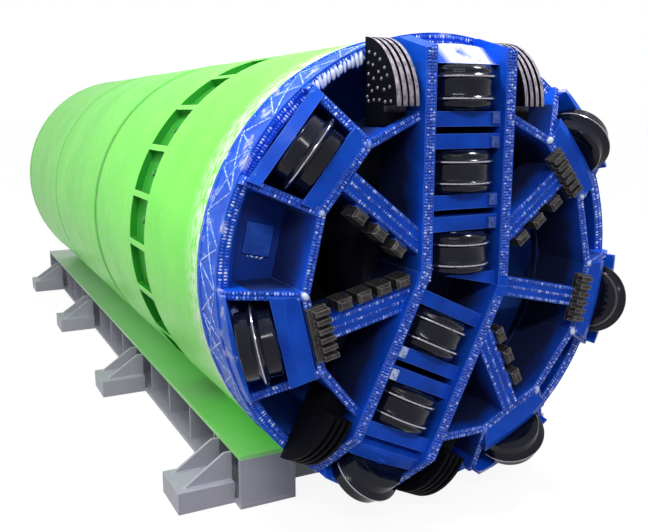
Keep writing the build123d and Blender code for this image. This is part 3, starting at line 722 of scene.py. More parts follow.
def dress_nodes() -> None:
    """Gives every CAD node its own finish, or else that of its slot in the record."""
    for row in frame["record"]["subparts"]:
        piece = frame["nodes"][row["node"]]
        piece.data.materials.clear()
        finish = NODE_FINISH.get(row["node"], SLOT_FINISH[row["material_slot"]])
        piece.data.materials.append(finish.material())


def dress(piece: Piece, finish: Finish, body: str) -> Piece:
    """Gives a new piece its finish and its body, and reports it.

    Args:
        piece: The finished mesh object.
        finish: What its surface is.
        body: The CAD body that it moves with.

    Returns:
        The same piece.
    """
    piece.data.materials.clear()
    piece.data.materials.append(finish.material())
    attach(piece, body)
    log.info("%s: %d faces", piece.name, len(piece.data.polygons))
    return piece


def turned(name: str, stations: list[tuple[float, float]], segments: int = 48) -> Piece:
    """Turns a closed body about the Z axis by extruding and resizing a circle.

    Args:
        name: Name of the new object.
        stations: Height and radius of each ring in metres, from the bottom up.
        segments: Sides of the circle.

    Returns:
        The object, at the origin, with smooth faces.
    """
    bpy.ops.object.select_all(action="DESELECT")
    height, radius = stations[0]
    bpy.ops.mesh.primitive_circle_add(
        vertices=segments, radius=radius, fill_type="NGON", location=(0, 0, height)
    )
    piece = bpy.context.active_object
    piece.name = name
    bpy.ops.object.transform_apply(location=True, rotation=True, scale=True)
    bpy.ops.object.mode_set(mode="EDIT")
    bpy.ops.mesh.select_all(action="SELECT")
    for next_height, next_radius in stations[1:]:
        bpy.ops.mesh.extrude_region_move(TRANSFORM_OT_translate={"value": (0, 0, next_height - height)})
        share = next_radius / radius
        bpy.ops.transform.resize(value=(share, share, 1), center_override=(0, 0, next_height))
        height, radius = next_height, next_radius
    bpy.ops.mesh.select_all(action="SELECT")
    bpy.ops.mesh.normals_make_consistent(inside=False)
    bpy.ops.object.mode_set(mode="OBJECT")
    bpy.ops.object.shade_smooth_by_angle(angle=radians(28))
    return piece


# Share of a copy's tone at its foot; the rest is a painted highlight that grows towards its top.
FOOT_TONE = 0.35


def copies(name: str, seed: Piece, places: list[Matrix], tones: np.ndarray | None = None) -> Piece:
    """Joins many copies of a small piece into one mesh.

    Args:
        name: Name of the new object.
        seed: The piece that is modelled once, at the origin.
        places: Where each copy goes.
        tones: A number from 0 to 1 for each copy, kept as the attribute tone, raised towards its top as a painted
            highlight.

    Returns:
        The joined object.
    """
    mesh = seed.data
    points = np.empty(len(mesh.vertices) * 3)
    mesh.vertices.foreach_get("co", points)
    points = np.c_[points.reshape(-1, 3), np.ones(len(mesh.vertices))]
    moves = np.array([list(map(list, place)) for place in places])
    placed = np.einsum("cij,pj->cpi", moves, points)[:, :, :3].reshape(-1, 3)
    corners = np.array([loop.vertex_index for loop in mesh.loops])
    starts = np.array([face.loop_start for face in mesh.polygons])
    smooth = np.array([face.use_smooth for face in mesh.polygons])
    count = len(places)
    joined = bpy.data.meshes.new(name)
    joined.vertices.add(len(placed))
    joined.vertices.foreach_set("co", placed.ravel())
    joined.loops.add(len(corners) * count)
    steps = np.arange(count)[:, None]
    joined.loops.foreach_set("vertex_index", (corners[None] + steps * len(points)).ravel())
    joined.polygons.add(len(starts) * count)
    joined.polygons.foreach_set("loop_start", (starts[None] + steps * len(corners)).ravel())
    joined.update(calc_edges=True)
    joined.polygons.foreach_set("use_smooth", np.tile(smooth, count))
    if tones is not None:
        # Painted highlight: each copy's random tone grows towards its top.
        heights = points[:, 2] / max(points[:, 2].max(), 1e-9)
        values = (tones[:, None] * (FOOT_TONE + (1 - FOOT_TONE) * heights[None])).ravel()
        joined.attributes.new("tone", "FLOAT", "POINT").data.foreach_set("value", values.astype(np.float32))
    piece = bpy.data.objects.new(name, joined)
    bpy.context.scene.collection.objects.link(piece)
    return piece


def turn_to(
    place: Vector, up: Vector, along: Vector, sizes: tuple[float, float, float] = (1, 1, 1)
) -> Matrix:
    """Makes the move that stands a copy on a surface.

    Args:
        place: Where the copy's origin goes.
        up: The surface's normal, which the copy's Z follows.
        along: Direction that the copy's X follows as nearly as it can.
        sizes: Scale along the copy's X, Y and Z.

    Returns:
        The move as a matrix.
    """
    z = up.normalized()
    y = z.cross(along).normalized()
    x = y.cross(z)
    turn = Matrix((x, y, z)).transposed().to_4x4()
    return Matrix.Translation(place) @ turn @ Matrix.Diagonal((*sizes, 1))


def join(pieces: list[Piece]) -> Piece:
    """Joins pieces into the first of them.

    Args:
        pieces: The mesh objects.

    Returns:
        The first one, with all their meshes.
    """
    bpy.ops.object.select_all(action="DESELECT")
    for piece in pieces:
        piece.select_set(True)
    bpy.context.view_layer.objects.active = pieces[0]
    bpy.ops.object.join()
    return pieces[0]


def slab(name: str, centre: Vector, size: Vector, edge: float) -> Piece:
    """Models a plate with rounded edges, with its place in its mesh.

    Args:
        name: Name of the new object.
        centre: Its middle in metres.
        size: Its sizes.
        edge: Radius of its edges.

    Returns:
        The plate.
    """
    bpy.ops.object.select_all(action="DESELECT")
    bpy.ops.mesh.primitive_cube_add(size=1, location=centre)
    plate = bpy.context.active_object
    plate.name = name
    plate.scale = size
    bpy.ops.object.transform_apply(location=True, rotation=True, scale=True)
    bpy.ops.object.mode_set(mode="EDIT")
    bpy.ops.mesh.select_all(action="SELECT")
    bpy.ops.mesh.bevel(offset=edge, segments=2)
    bpy.ops.object.mode_set(mode="OBJECT")
    return plate


def dome(name: str, segments: int, sizes: tuple[float, float, float]) -> Piece:
    """Models a half sphere that stands on the origin.

    Args:
        name: Name of the new object.
        segments: Sides of the sphere.
        sizes: Scale along X, Y and Z of a sphere one unit across.

    Returns:
        The dome.
    """
    bpy.ops.object.select_all(action="DESELECT")
    bpy.ops.mesh.primitive_uv_sphere_add(segments=segments, ring_count=4, radius=0.5, location=(0, 0, 0))
    piece = bpy.context.active_object
    piece.name = name
    bpy.ops.object.mode_set(mode="EDIT")
    bpy.ops.mesh.select_all(action="SELECT")
    bpy.ops.mesh.bisect(plane_co=(0, 0, 0), plane_no=(0, 0, -1), clear_outer=True)
    bpy.ops.mesh.select_all(action="SELECT")
    bpy.ops.transform.resize(value=sizes, center_override=(0, 0, 0))
    bpy.ops.object.mode_set(mode="OBJECT")
    return piece


@dataclass(frozen=True)
class HeadFrame:
    """Places on the head, in millimetres out along a cell, to its clockwise side and ahead of the joint."""

    joint: tuple[float, float, float]
    cells: int = 14

    def out(self, cell: float) -> Vector:
        """Direction outwards along the middle of a cell."""
        angle = tau * cell / self.cells
        return Vector((sin(angle), 0, cos(angle)))

    def across(self, cell: float) -> Vector:
        """Direction to the clockwise side of a cell."""
        angle = tau * cell / self.cells
        return Vector((cos(angle), 0, -sin(angle)))

    def point(self, cell: float, distance: float, side: float, ahead: float) -> Vector:
        """Finds a place on the head.

        Args:
            cell: The cell.
            distance: Out from the axis.
            side: To the cell's clockwise side.
            ahead: In front of the joint.

        Returns:
            The place in metres.
        """
        spread = self.out(cell) * distance + self.across(cell) * side - BACK * ahead
        return Vector(self.joint) + spread * MM


HEAD = HeadFrame(tuple(joint_row("head_spin")["pos_m"]))
PROBE_AHEAD = 700.0


class Probe:
    """Finds the surface of some CAD nodes along a line."""

    def __init__(self, *names: str) -> None:
        """Gathers the nodes' faces.

        Args:
            names: The CAD nodes.
        """
        points, faces = [], []
        for name in names:
            mesh = frame["nodes"][name].data
            first = len(points)
            points += [vertex.co.copy() for vertex in mesh.vertices]
            faces += [[first + i for i in face.vertices] for face in mesh.polygons]
        self.tree = BVHTree.FromPolygons(points, faces)

    def from_front(self, place: Vector) -> tuple[Vector, Vector] | None:
        """Finds the first surface behind a place in front of the head.

        Args:
            place: The place in front of the head.

        Returns:
            Place and normal of the surface, or None where it faces away from the front.
        """
        hit, normal, _, _ = self.tree.ray_cast(place, BACK)
        return (hit, normal) if hit and normal.y < -0.3 else None


@dataclass
class WeldRows:
    """Rows of painted hardfacing beads, which the eye sees as pale glints on the plates' edges."""

    name: str
    node_names: tuple[str, ...]
    seed: int
    pitch: float = 12.0
    bead: tuple[float, float, float] = (18.0, 13.0, 6.0)
    tones: tuple[float, float] = (0.0, 0.88)
    places: list[Matrix] = field(default_factory=list)

    def __post_init__(self) -> None:
        """Prepares the surface to lie on and the spread of sizes."""
        self.probe = Probe(*self.node_names)
        self.spread = np.random.default_rng(self.seed)

    def one(self, spot: Vector, normal: Vector, along: Vector) -> None:
        """Lays one bead on a surface, a little askew and off its size.

        Args:
            spot: Where it lies.
            normal: The surface's normal.
            along: Direction of the bead.
        """
        jitter = self.spread.uniform(0.75, 1.2, 3)
        skew = Vector(self.spread.uniform(-0.25, 0.25, 3))
        sizes = tuple(size * MM * part for size, part in zip(self.bead, jitter))
        self.places.append(turn_to(spot, normal, along + skew, sizes))

    def row(self, start: Vector, end: Vector) -> None:
        """Lays beads side by side between two places in front of the head.

        Args:
            start: First place.
            end: Last place.
        """
        length = (end - start).length / MM
        run = (end - start).normalized()
        count = max(1, int(length / self.pitch))
        for step in range(count):
            share = (step + 0.5 + self.spread.uniform(-0.2, 0.2)) / count
            found = self.probe.from_front(start.lerp(end, share))
            if found:
                self.one(*found, run.cross(found[1]))

    def drop(self, start: Vector, along: Vector, lift: float = 0.0) -> None:
        """Lays one bead on the surface behind a place in front of the head.

        Args:
            start: The place in front of the head.
            along: Direction of the bead.
            lift: How far it stands off towards the face, in millimetres.
        """
        found = self.probe.from_front(start)
        if found:
            self.one(found[0] - BACK * (lift * MM), found[1], along)

    def build(self, bead: Piece, finish: Finish) -> Piece:
        """Joins the beads.

        Args:
            bead: The bead that is copied.
            finish: The beads' finish.

        Returns:
            The dressed piece.
        """
        tones = self.spread.uniform(*self.tones, len(self.places))
        piece = copies(self.name, bead, self.places, tones)
        return dress(piece, finish, "cutterhead")


def make_bead() -> Piece:
    """Models the bead: a low dome one unit across and one high."""
    bead = dome("weld_bead_pattern", 8, (1, 1, 2))
    bpy.ops.object.shade_smooth()
    return bead


@dataclass
class Cutterhead:
    """Weld rows and trim on the head's ring, arms and rim, in millimetres."""

    arm_plate_middle: float = 195.0
    arm_row_step: float = 13.0
    thin_arm_start: float = 220.0
    thin_arm_rows: tuple[float, ...] = (-34.0, 0.0, 34.0)
    ring_apothem: float = 715.0
    ring_rows_in: tuple[float, ...] = (9.0, 26.0)
    ring_half_side: float = 163.0
    wall_rows: tuple[float, ...] = (-9.0, 9.0)
    rim_inner: float = 955.0
    rim_outer: float = 1000.0
    rim_front: float = 240.0
    rim_back: float = 6.0
    rim_pitch: float = 13.0
    rim_row_offset: float = 11.0
    stitch_cells: tuple[float, float] = (12.5, 13.15)
    stitch_count: int = 14
    stitch_inset: float = 14.0
    stitch_lean: float = 0.35
    stitch_lift: float = 1.0
    blob_inset: float = 14.0
    lattice_count: int = 34
    lattice_inset: float = 22.0
    lattice_shift: float = 0.28
    lattice_crossed: float = 0.45
    lattice_pitch: float = 11.0
    border_pitch: float = 15.0
    border_offset: float = 6.0
    wall_cells: tuple[float, ...] = (1.5, 2.5, 3.5, 4.5, 5.5, 6.5, 9.5, 10.5, 11.5, 12.5)
    thin_arm_cells: tuple[int, ...] = (2, 4, 6, 10, 12)

    def line(self, rows: WeldRows, cell: float, ends: tuple[float, float], side: float) -> None:
        """Lays a row that runs outwards along a cell.

        Args:
            rows: The beads so far.
            cell: The cell.
            ends: Distances from the axis where the row starts and ends.
            side: Distance to the clockwise side of the cell's middle.
        """
        start, end = (HEAD.point(cell, distance, side, PROBE_AHEAD) for distance in ends)
        rows.row(start, end)

    def arm_rows(self, bead: Piece) -> None:
        """Double and treble rows on the front edges of the main arm's plates and the thin arms.

        Args:
            bead: The bead that is copied.
        """
        rows = WeldRows("main_arm_welds", ("main_arm_upper", "main_arm_lower"), 3)
        for cell in (0, 8):
            for plate in (-self.arm_plate_middle, self.arm_plate_middle):
                for step in (-1, 0, 1):
                    self.line(rows, cell, (0, self.rim_outer), plate + step * self.arm_row_step)
        rows.build(bead, Finish.WELD_BLUE)
        names = tuple(f"thin_arm_{number}" for number in range(1, len(self.thin_arm_cells) + 1))
        thin = WeldRows("thin_arm_welds", names, 5)
        for cell in self.thin_arm_cells:
            for side in self.thin_arm_rows:
                self.line(thin, cell, (self.thin_arm_start, self.ring_apothem), side)
        thin.build(bead, Finish.WELD_BLUE)

    def ring_rows(self, bead: Piece) -> None:
        """Rows round the cell ring and out along the radial walls.

        Args:
            bead: The bead that is copied.
        """
        rows = WeldRows("cell_ring_welds", ("head_cell_frame",), 7)
        for cell in range(HEAD.cells):
            for inset in self.ring_rows_in:
                start, end = (
                    HEAD.point(cell, self.ring_apothem - inset, side * self.ring_half_side, PROBE_AHEAD)
                    for side in (-1, 1)
                )
                rows.row(start, end)
        for cell in self.wall_cells:
            for side in self.wall_rows:
                self.line(rows, cell, (self.ring_apothem, self.rim_outer), side)
        rows.build(bead, Finish.WELD_BLUE)

    def rim_rows(self, bead: Piece) -> None:
        """Two fine rows round the rim's front edge, and the coarse stitches of a repair on it.

        Args:
            bead: The bead that is copied.
        """
        rows = WeldRows("rim_edge_welds", ("head_rim",), 11, bead=(20.0, 11.0, 4.0), tones=(0.1, 1.1))
        middle = (self.rim_inner + self.rim_outer) / 2
        count = int(tau * middle / self.rim_pitch)
        for step in range(count):
            cell = HEAD.cells * step / count
            for distance in (middle - self.rim_row_offset, middle + self.rim_row_offset):
                rows.drop(HEAD.point(cell, distance, 0, PROBE_AHEAD), HEAD.out(cell))
        rows.build(bead, Finish.WELD_BLUE)
        stitches = WeldRows(
            "rim_repair_stitches", ("head_rim",), 19, bead=(58.0, 22.0, 12.0), tones=(1.0, 1.2),
        )
        first, last = self.stitch_cells
        for step in range(self.stitch_count):
            cell = first + step * (last - first) / self.stitch_count
            lean = HEAD.out(cell) + self.stitch_lean * HEAD.across(cell)
            start = HEAD.point(cell, self.rim_inner + self.stitch_inset, 0, PROBE_AHEAD)
            stitches.drop(start, lean, self.stitch_lift)
        stitches.build(bead, Finish.WELD_BLUE)

    def corner_blobs(self, bead: Piece) -> None:
        """Heaps of weld metal where the ring's plates meet the radial walls.

        Args:
            bead: The bead that is copied.
        """
        rows = WeldRows(
            "ring_corner_welds", ("head_cell_frame",), 23, bead=(42.0, 34.0, 15.0), tones=(0.5, 1.3),
        )
        distance = self.ring_apothem / cos(tau / HEAD.cells / 2) - self.blob_inset
        for cell in range(HEAD.cells):
            corner = cell + 0.5
            rows.drop(HEAD.point(corner, distance, 0, PROBE_AHEAD), HEAD.across(corner) + HEAD.out(corner))
        rows.build(bead, Finish.WELD_BLUE)

    def lattice_strokes(self, near: float, far: float) -> list[tuple[float, float, float, float]]:
        """Draws the uneven zigzag of the rim's lattice, with a longer stroke across it here and there.

        Args:
            near: Distance ahead of the joint of the corners towards the shield.
            far: Distance ahead of the joint of the corners towards the face.

        Returns:
            Cell and distance ahead of each stroke's start, and those of its end.
        """
        spread = np.random.default_rng(29)
        zigs = 2 * self.lattice_count
        corners = []
        for zig in range(zigs):
            shift = spread.uniform(-self.lattice_shift, self.lattice_shift)
            corners.append((HEAD.cells * (zig + shift) / zigs, far if zig % 2 else near))
        strokes = []
        for zig, (cell, ahead) in enumerate(corners):
            steps = (1, 3) if spread.random() < self.lattice_crossed else (1,)
            for step in steps:
                after, across = corners[(zig + step) % zigs]
                strokes.append((cell, ahead, after + (HEAD.cells if after < cell - 1 else 0), across))
        return strokes

    def rim_lattice(self, bead: Piece) -> None:
        """Zigzag of weld lines round the rim's outer face, between two rows of beads.

        Args:
            bead: The bead that is copied.
        """
        rows = WeldRows("rim_lattice_welds", ("head_rim",), 13, bead=(18.0, 10.0, 3.8), tones=(0.35, 1.0))
        near, far = self.rim_back + self.lattice_inset, self.rim_front - self.lattice_inset
        for cell, ahead, after, across in self.lattice_strokes(near, far):
            width = (after - cell) * tau / HEAD.cells * self.rim_outer
            length = (width**2 + (across - ahead) ** 2) ** 0.5
            for step in range(int(length / self.lattice_pitch)):
                share = step / (length / self.lattice_pitch)
                here = cell + (after - cell) * share
                along = HEAD.across(here) * width + BACK * (ahead - across)
                spot = HEAD.point(here, self.rim_outer, 0, ahead + (across - ahead) * share)
                rows.one(spot, HEAD.out(here), along)
        count = int(tau * self.rim_outer / self.border_pitch)
        for step in range(count):
            cell = HEAD.cells * step / count
            for ahead in (near - self.border_offset, far + self.border_offset):
                rows.one(HEAD.point(cell, self.rim_outer, 0, ahead), HEAD.out(cell), BACK)
        rows.build(bead, Finish.LATTICE_BLUE)

    def build(self, bead: Piece) -> None:
        """Models the head's weld work.

        Args:
            bead: The bead that is copied.
        """
        self.arm_rows(bead)
        self.ring_rows(bead)
        self.rim_rows(bead)
        self.corner_blobs(bead)
        self.rim_lattice(bead)


def hex_bolt(name: str, width: float, height: float, washer: float) -> Piece:
    """Models a hexagon bolt head on its washer, standing up from the origin.

    Args:
        name: Name of the new object.
        width: Across the head's corners in metres.
        height: Height of the head.
        washer: Radius of the washer.

    Returns:
        The bolt, at the origin.
    """
    flange = turned(name, [(0.0, washer), (height * 0.2, washer), (height * 0.3, washer * 0.93)], 20)
    steps = [(height * 0.28, width / 2), (height * 0.9, width / 2)]
    steps += [(height, width * 0.43), (height * 0.97, width * 0.3)]
    return join([flange, turned("bolt_head", steps, 6)])


@dataclass
class HeadTrim:
    """Small pieces on the head, in millimetres: shoe studs, wedge locks and wear plates."""

    shoe_side: float = -358.0
    shoe_centre: tuple[float, float] = (705.0, 212.0)
    stud_reach: float = 228.0
    stud_pitch: float = 42.0
    stud_jitter: float = 0.15
    stud_ahead: float = 40.0
    stud_pull: float = 20.0
    stud_front: float = 245.0
    flank_radius: float = 245.0
    lock_side: float = 138.0
    lock_size: tuple[float, float, float] = (36.0, 46.0, 16.0)
    lock_edge: float = 3.0
    lug_place: tuple[float, float] = (925.0, 118.0)
    lug_cell: int = 10
    lug_stretch: float = 1.2
    blue_locks: tuple[tuple[int, float], ...] = ((0, 660.0), (0, 563.0), (0, 327.0), (0, 230.0))
    bare_locks: tuple[tuple[int, float], ...] = ((8, 373.0), (8, 470.0))
    open_cells: tuple[int, ...] = (3, 5, 11)
    plate_distance: float = 806.0
    plate_size: tuple[float, float, float] = (130.0, 120.0, 10.0)
    plate_edge: float = 3.0
    tack_sides: tuple[float, ...] = (-30.0, -10.0, 10.0, 30.0)
    tack_reach: float = 73.0
    tack_lean: float = 0.5

    def studs(self) -> None:
        """Carbide studs on the shoe's outer flank, in rows round its middle."""
        stud = turned("stud_pattern", [(0.0, 0.008), (0.0025, 0.0075), (0.0045, 0.005), (0.0055, 0.002)], 10)
        places = []
        distance, ahead = self.shoe_centre
        spread = np.random.default_rng(17)
        for ring in range(1, int(self.stud_reach / self.stud_pitch) + 1):
            radius = ring * self.stud_pitch
            count = max(2, int(radius * tau / 4 / self.stud_pitch))
            for step in range(count):
                angle = (step + 0.5 + spread.uniform(-self.stud_jitter, self.stud_jitter)) / count * tau / 4
                out = distance + radius * sin(angle)
                front = ahead + self.stud_ahead + (radius - self.stud_pull) * cos(angle)
                squared = (out - distance) ** 2 + (front - ahead) ** 2
                if front < self.stud_front or squared > self.flank_radius**2:
                    continue
                places.append(turn_to(HEAD.point(0, out, self.shoe_side, front), -HEAD.across(0), UP))
        dress(copies("shoe_studs", stud, places), Finish.STUD_STEEL, "cutterhead")
        bpy.data.objects.remove(stud)

    def stand(self, name: str, size: tuple[float, float, float], edge: float) -> Piece:
        """Models a rounded plate that stands on the origin.

        Args:
            name: Name of the new object.
            size: Its sizes.
            edge: Radius of its edges.

        Returns:
            The plate.
        """
        return slab(name, UP * (size[2] / 2 * MM), Vector(size) * MM, edge * MM)

    def locks(self) -> None:
        """A bevelled wedge with its screw at the clockwise end of each saddle bar."""
        screw = hex_bolt("wedge_screw", 0.022, 0.010, 0.013)
        screw.data.transform(Matrix.Translation(UP * (self.lock_size[2] * MM)))
        wedge = join([self.stand("wedge_pattern", self.lock_size, self.lock_edge), screw])
        probe = Probe("twin_saddles")
        for name, locks, finish in (
            ("upper_wedge_locks", self.blue_locks, Finish.LOCK_BLUE),
            ("lower_wedge_locks", self.bare_locks, Finish.LOCK_STEEL),
        ):
            places = []
            for cell, distance in locks:
                found = probe.from_front(HEAD.point(cell, distance, self.lock_side, PROBE_AHEAD))
                if found:
                    places.append(turn_to(*found, HEAD.across(cell)))
            dress(copies(name, wedge, places), finish, "cutterhead")
        found = Probe("gauge_saddles").from_front(HEAD.point(self.lug_cell, *self.lug_place, PROBE_AHEAD))
        if found:
            lug = turn_to(*found, HEAD.across(self.lug_cell), (self.lug_stretch, 1, 1))
            dress(copies("gauge_saddle_lug", wedge, [lug]), Finish.LOCK_STEEL, "cutterhead")
        bpy.data.objects.remove(wedge)

    def wear_plates(self, bead: Piece) -> None:
        """A plate on the floor of each open cell, with tack welds at its foot.

        Args:
            bead: The bead that is copied.
        """
        plate = self.stand("wear_plate_pattern", self.plate_size, self.plate_edge)
        probe = Probe("head_cell_frame", "head_back_ring", "head_rim")
        tacks = WeldRows(
            "cell_plate_welds", ("head_cell_frame",), 31, bead=(20.0, 12.0, 6.0), tones=(0.6, 1.2),
        )
        places = []
        for cell in self.open_cells:
            found = probe.from_front(HEAD.point(cell, self.plate_distance, 0, PROBE_AHEAD))
            if found and found[1].y < -0.9:
                out, across = HEAD.out(cell), HEAD.across(cell)
                places.append(turn_to(*found, across))
                for side in self.tack_sides:
                    spot = found[0] - across * (self.tack_reach * MM) + out * side * MM
                    lean = self.tack_lean if side > 0 else -self.tack_lean
                    tacks.one(spot, found[1], out + across * lean)
        if places:
            dress(copies("cell_wear_plates", plate, places), Finish.PLATE_BLUE, "cutterhead")
            tacks.build(bead, Finish.WELD_BLUE)
        bpy.data.objects.remove(plate)

    def build(self, bead: Piece) -> None:
        """Models the small pieces of the head.

        Args:
            bead: The bead that is copied.
        """
        self.studs()
        self.locks()
        self.wear_plates(bead)


@dataclass
class ShieldTrim:
    """Bolts in the windows, the seam's seal and the painted weld seams of the shield cans."""

    radius: float = 1.0
    window_radius: float = 0.955
    window_middle: float = 1.0355
    window_count: int = 24
    seam_start: float = 2.136
    seam_width: float = 0.012
    seal_depth: float = 0.007
    seal_radius: float = 0.0058
    seal_stretch: float = 1.03
    weld_pitch: float = 0.016
    weld_sunk: float = 0.0004
    weld_bead: tuple[float, float, float] = (0.013, 0.022, 0.0035)
    weld_places: tuple[float, ...] = (2.105, 2.18, 3.84, 5.56)

    def spot(self, radius: float, angle: float, distance: float) -> tuple[Vector, Vector]:
        """Finds a place on a can.

        Args:
            radius: Distance from the axis.
            angle: Clockwise from straight up.
            distance: Behind the head's joint.

        Returns:
            The place, and the direction out.
        """
        out = Vector((sin(angle), 0, cos(angle)))
        return Vector((0, HEAD_JOINT + distance, AXIS_HEIGHT)) + out * radius, out

    def window_bolts(self) -> None:
        """One bolt in the middle of each window."""
        bolt = hex_bolt("window_bolt_pattern", 0.034, 0.016, 0.024)
        places = []
        for window in range(self.window_count):
            angle = tau * (window + 0.5) / self.window_count
            place, out = self.spot(self.window_radius, angle, self.window_middle)
            places.append(turn_to(place, out, BACK))
        dress(copies("window_bolts", bolt, places), Finish.WINDOW_BOLT, "shield")
        bpy.data.objects.remove(bolt)

    def seal(self) -> None:
        """Flat rubber ring in the groove between the two cans."""
        bpy.ops.object.select_all(action="DESELECT")
        middle = (0, HEAD_JOINT + self.seam_start + self.seam_width / 2, AXIS_HEIGHT)
        bpy.ops.mesh.primitive_torus_add(
            major_segments=160, minor_segments=10, major_radius=self.radius - self.seal_depth,
            minor_radius=self.seal_radius, location=middle, rotation=(tau / 4, 0, 0),
        )
        seal = bpy.context.active_object
        seal.name = "seam_seal"
        bpy.ops.object.transform_apply(location=True, rotation=True, scale=True)
        bpy.ops.object.mode_set(mode="EDIT")
        bpy.ops.mesh.select_all(action="SELECT")
        bpy.ops.transform.resize(value=(1, self.seal_stretch, 1), center_override=middle)
        bpy.ops.object.mode_set(mode="OBJECT")
        bpy.ops.object.shade_smooth()
        dress(seal, Finish.SEAL_RUBBER, "shield")

    def seams(self, bead: Piece) -> None:
        """Rows of low painted weld beads round the cans.

        Args:
            bead: The bead that is copied.
        """
        spread = np.random.default_rng(23)
        places = []
        count = int(tau * self.radius / self.weld_pitch)
        for distance in self.weld_places:
            for step in range(count):
                place, out = self.spot(self.radius - self.weld_sunk, tau * step / count, distance)
                parts = spread.uniform(0.85, 1.15, 3)
                sizes = tuple(size * part for size, part in zip(self.weld_bead, parts))
                places.append(turn_to(place, out, BACK, sizes))
        dress(copies("shield_weld_seams", bead, places), Finish.SHIELD_WELD, "shield")

    def build(self, bead: Piece) -> None:
        """Models the trim of the shield.

        Args:
            bead: The bead that is copied.
        """
        self.window_bolts()
        self.seal()
        self.seams(bead)


@dataclass
class CradleWelds:
    """Fillet welds where the cradle's ribs and foot gussets stand on their plates."""

    rib_start: float = 0.094
    rib_spacing: float = 0.41
    rib_count: int = 13
    rib_plate: float = 0.015
    rib_span: tuple[float, float] = (0.545, 0.778)
    rib_foot: float = 0.02
    feet: tuple[float, ...] = (0.17, 1.84, 3.53, 5.19)
    foot_length: float = 0.26
    gusset_inset: float = 0.035
    gusset_span: tuple[float, float] = (0.802, 1.03)
    gusset_foot: float = 0.104
    pitch: float = 0.015
    fillet_bead: tuple[float, float, float] = (0.02, 0.013, 0.006)

    def fillet(
        self, places: list[Matrix], span: tuple[float, float], distance: float, height: float, away: int
    ) -> None:
        """Lays beads across both beams beside a plate.

        Args:
            places: Where the beads are gathered.
            span: First and last distance from the middle plane.
            distance: Distance behind the head joint of the plate's face.
            height: Height of the joint over the floor.
            away: Side of the plate, -1 in front of it and 1 behind it.
        """
        count = int((span[1] - span[0]) / self.pitch)
        for side in (-1, 1):
            for step in range(count):
                x = side * (span[0] + (step + 0.5) * self.pitch)
                spot = Vector((x, HEAD_JOINT + distance, height))
                places.append(turn_to(spot, Vector((0, away, 1)), RIGHT, self.fillet_bead))

    def build(self, bead: Piece) -> None:
        """Models the cradle's fillet welds.

        Args:
            bead: The bead that is copied.
        """
        places = []
        for rib in range(1, self.rib_count + 1):
            start = self.rib_start + rib * self.rib_spacing
            self.fillet(places, self.rib_span, start, self.rib_foot, -1)
            self.fillet(places, self.rib_span, start + self.rib_plate, self.rib_foot, 1)
        for foot in self.feet:
            last = foot + self.foot_length - self.gusset_inset - self.rib_plate
            for start in (foot + self.gusset_inset, last):
                self.fillet(places, self.gusset_span, start, self.gusset_foot, -1)
                self.fillet(places, self.gusset_span, start + self.rib_plate, self.gusset_foot, 1)
        dress(copies("cradle_fillet_welds", bead, places), Finish.CRADLE_GREY, "shield")


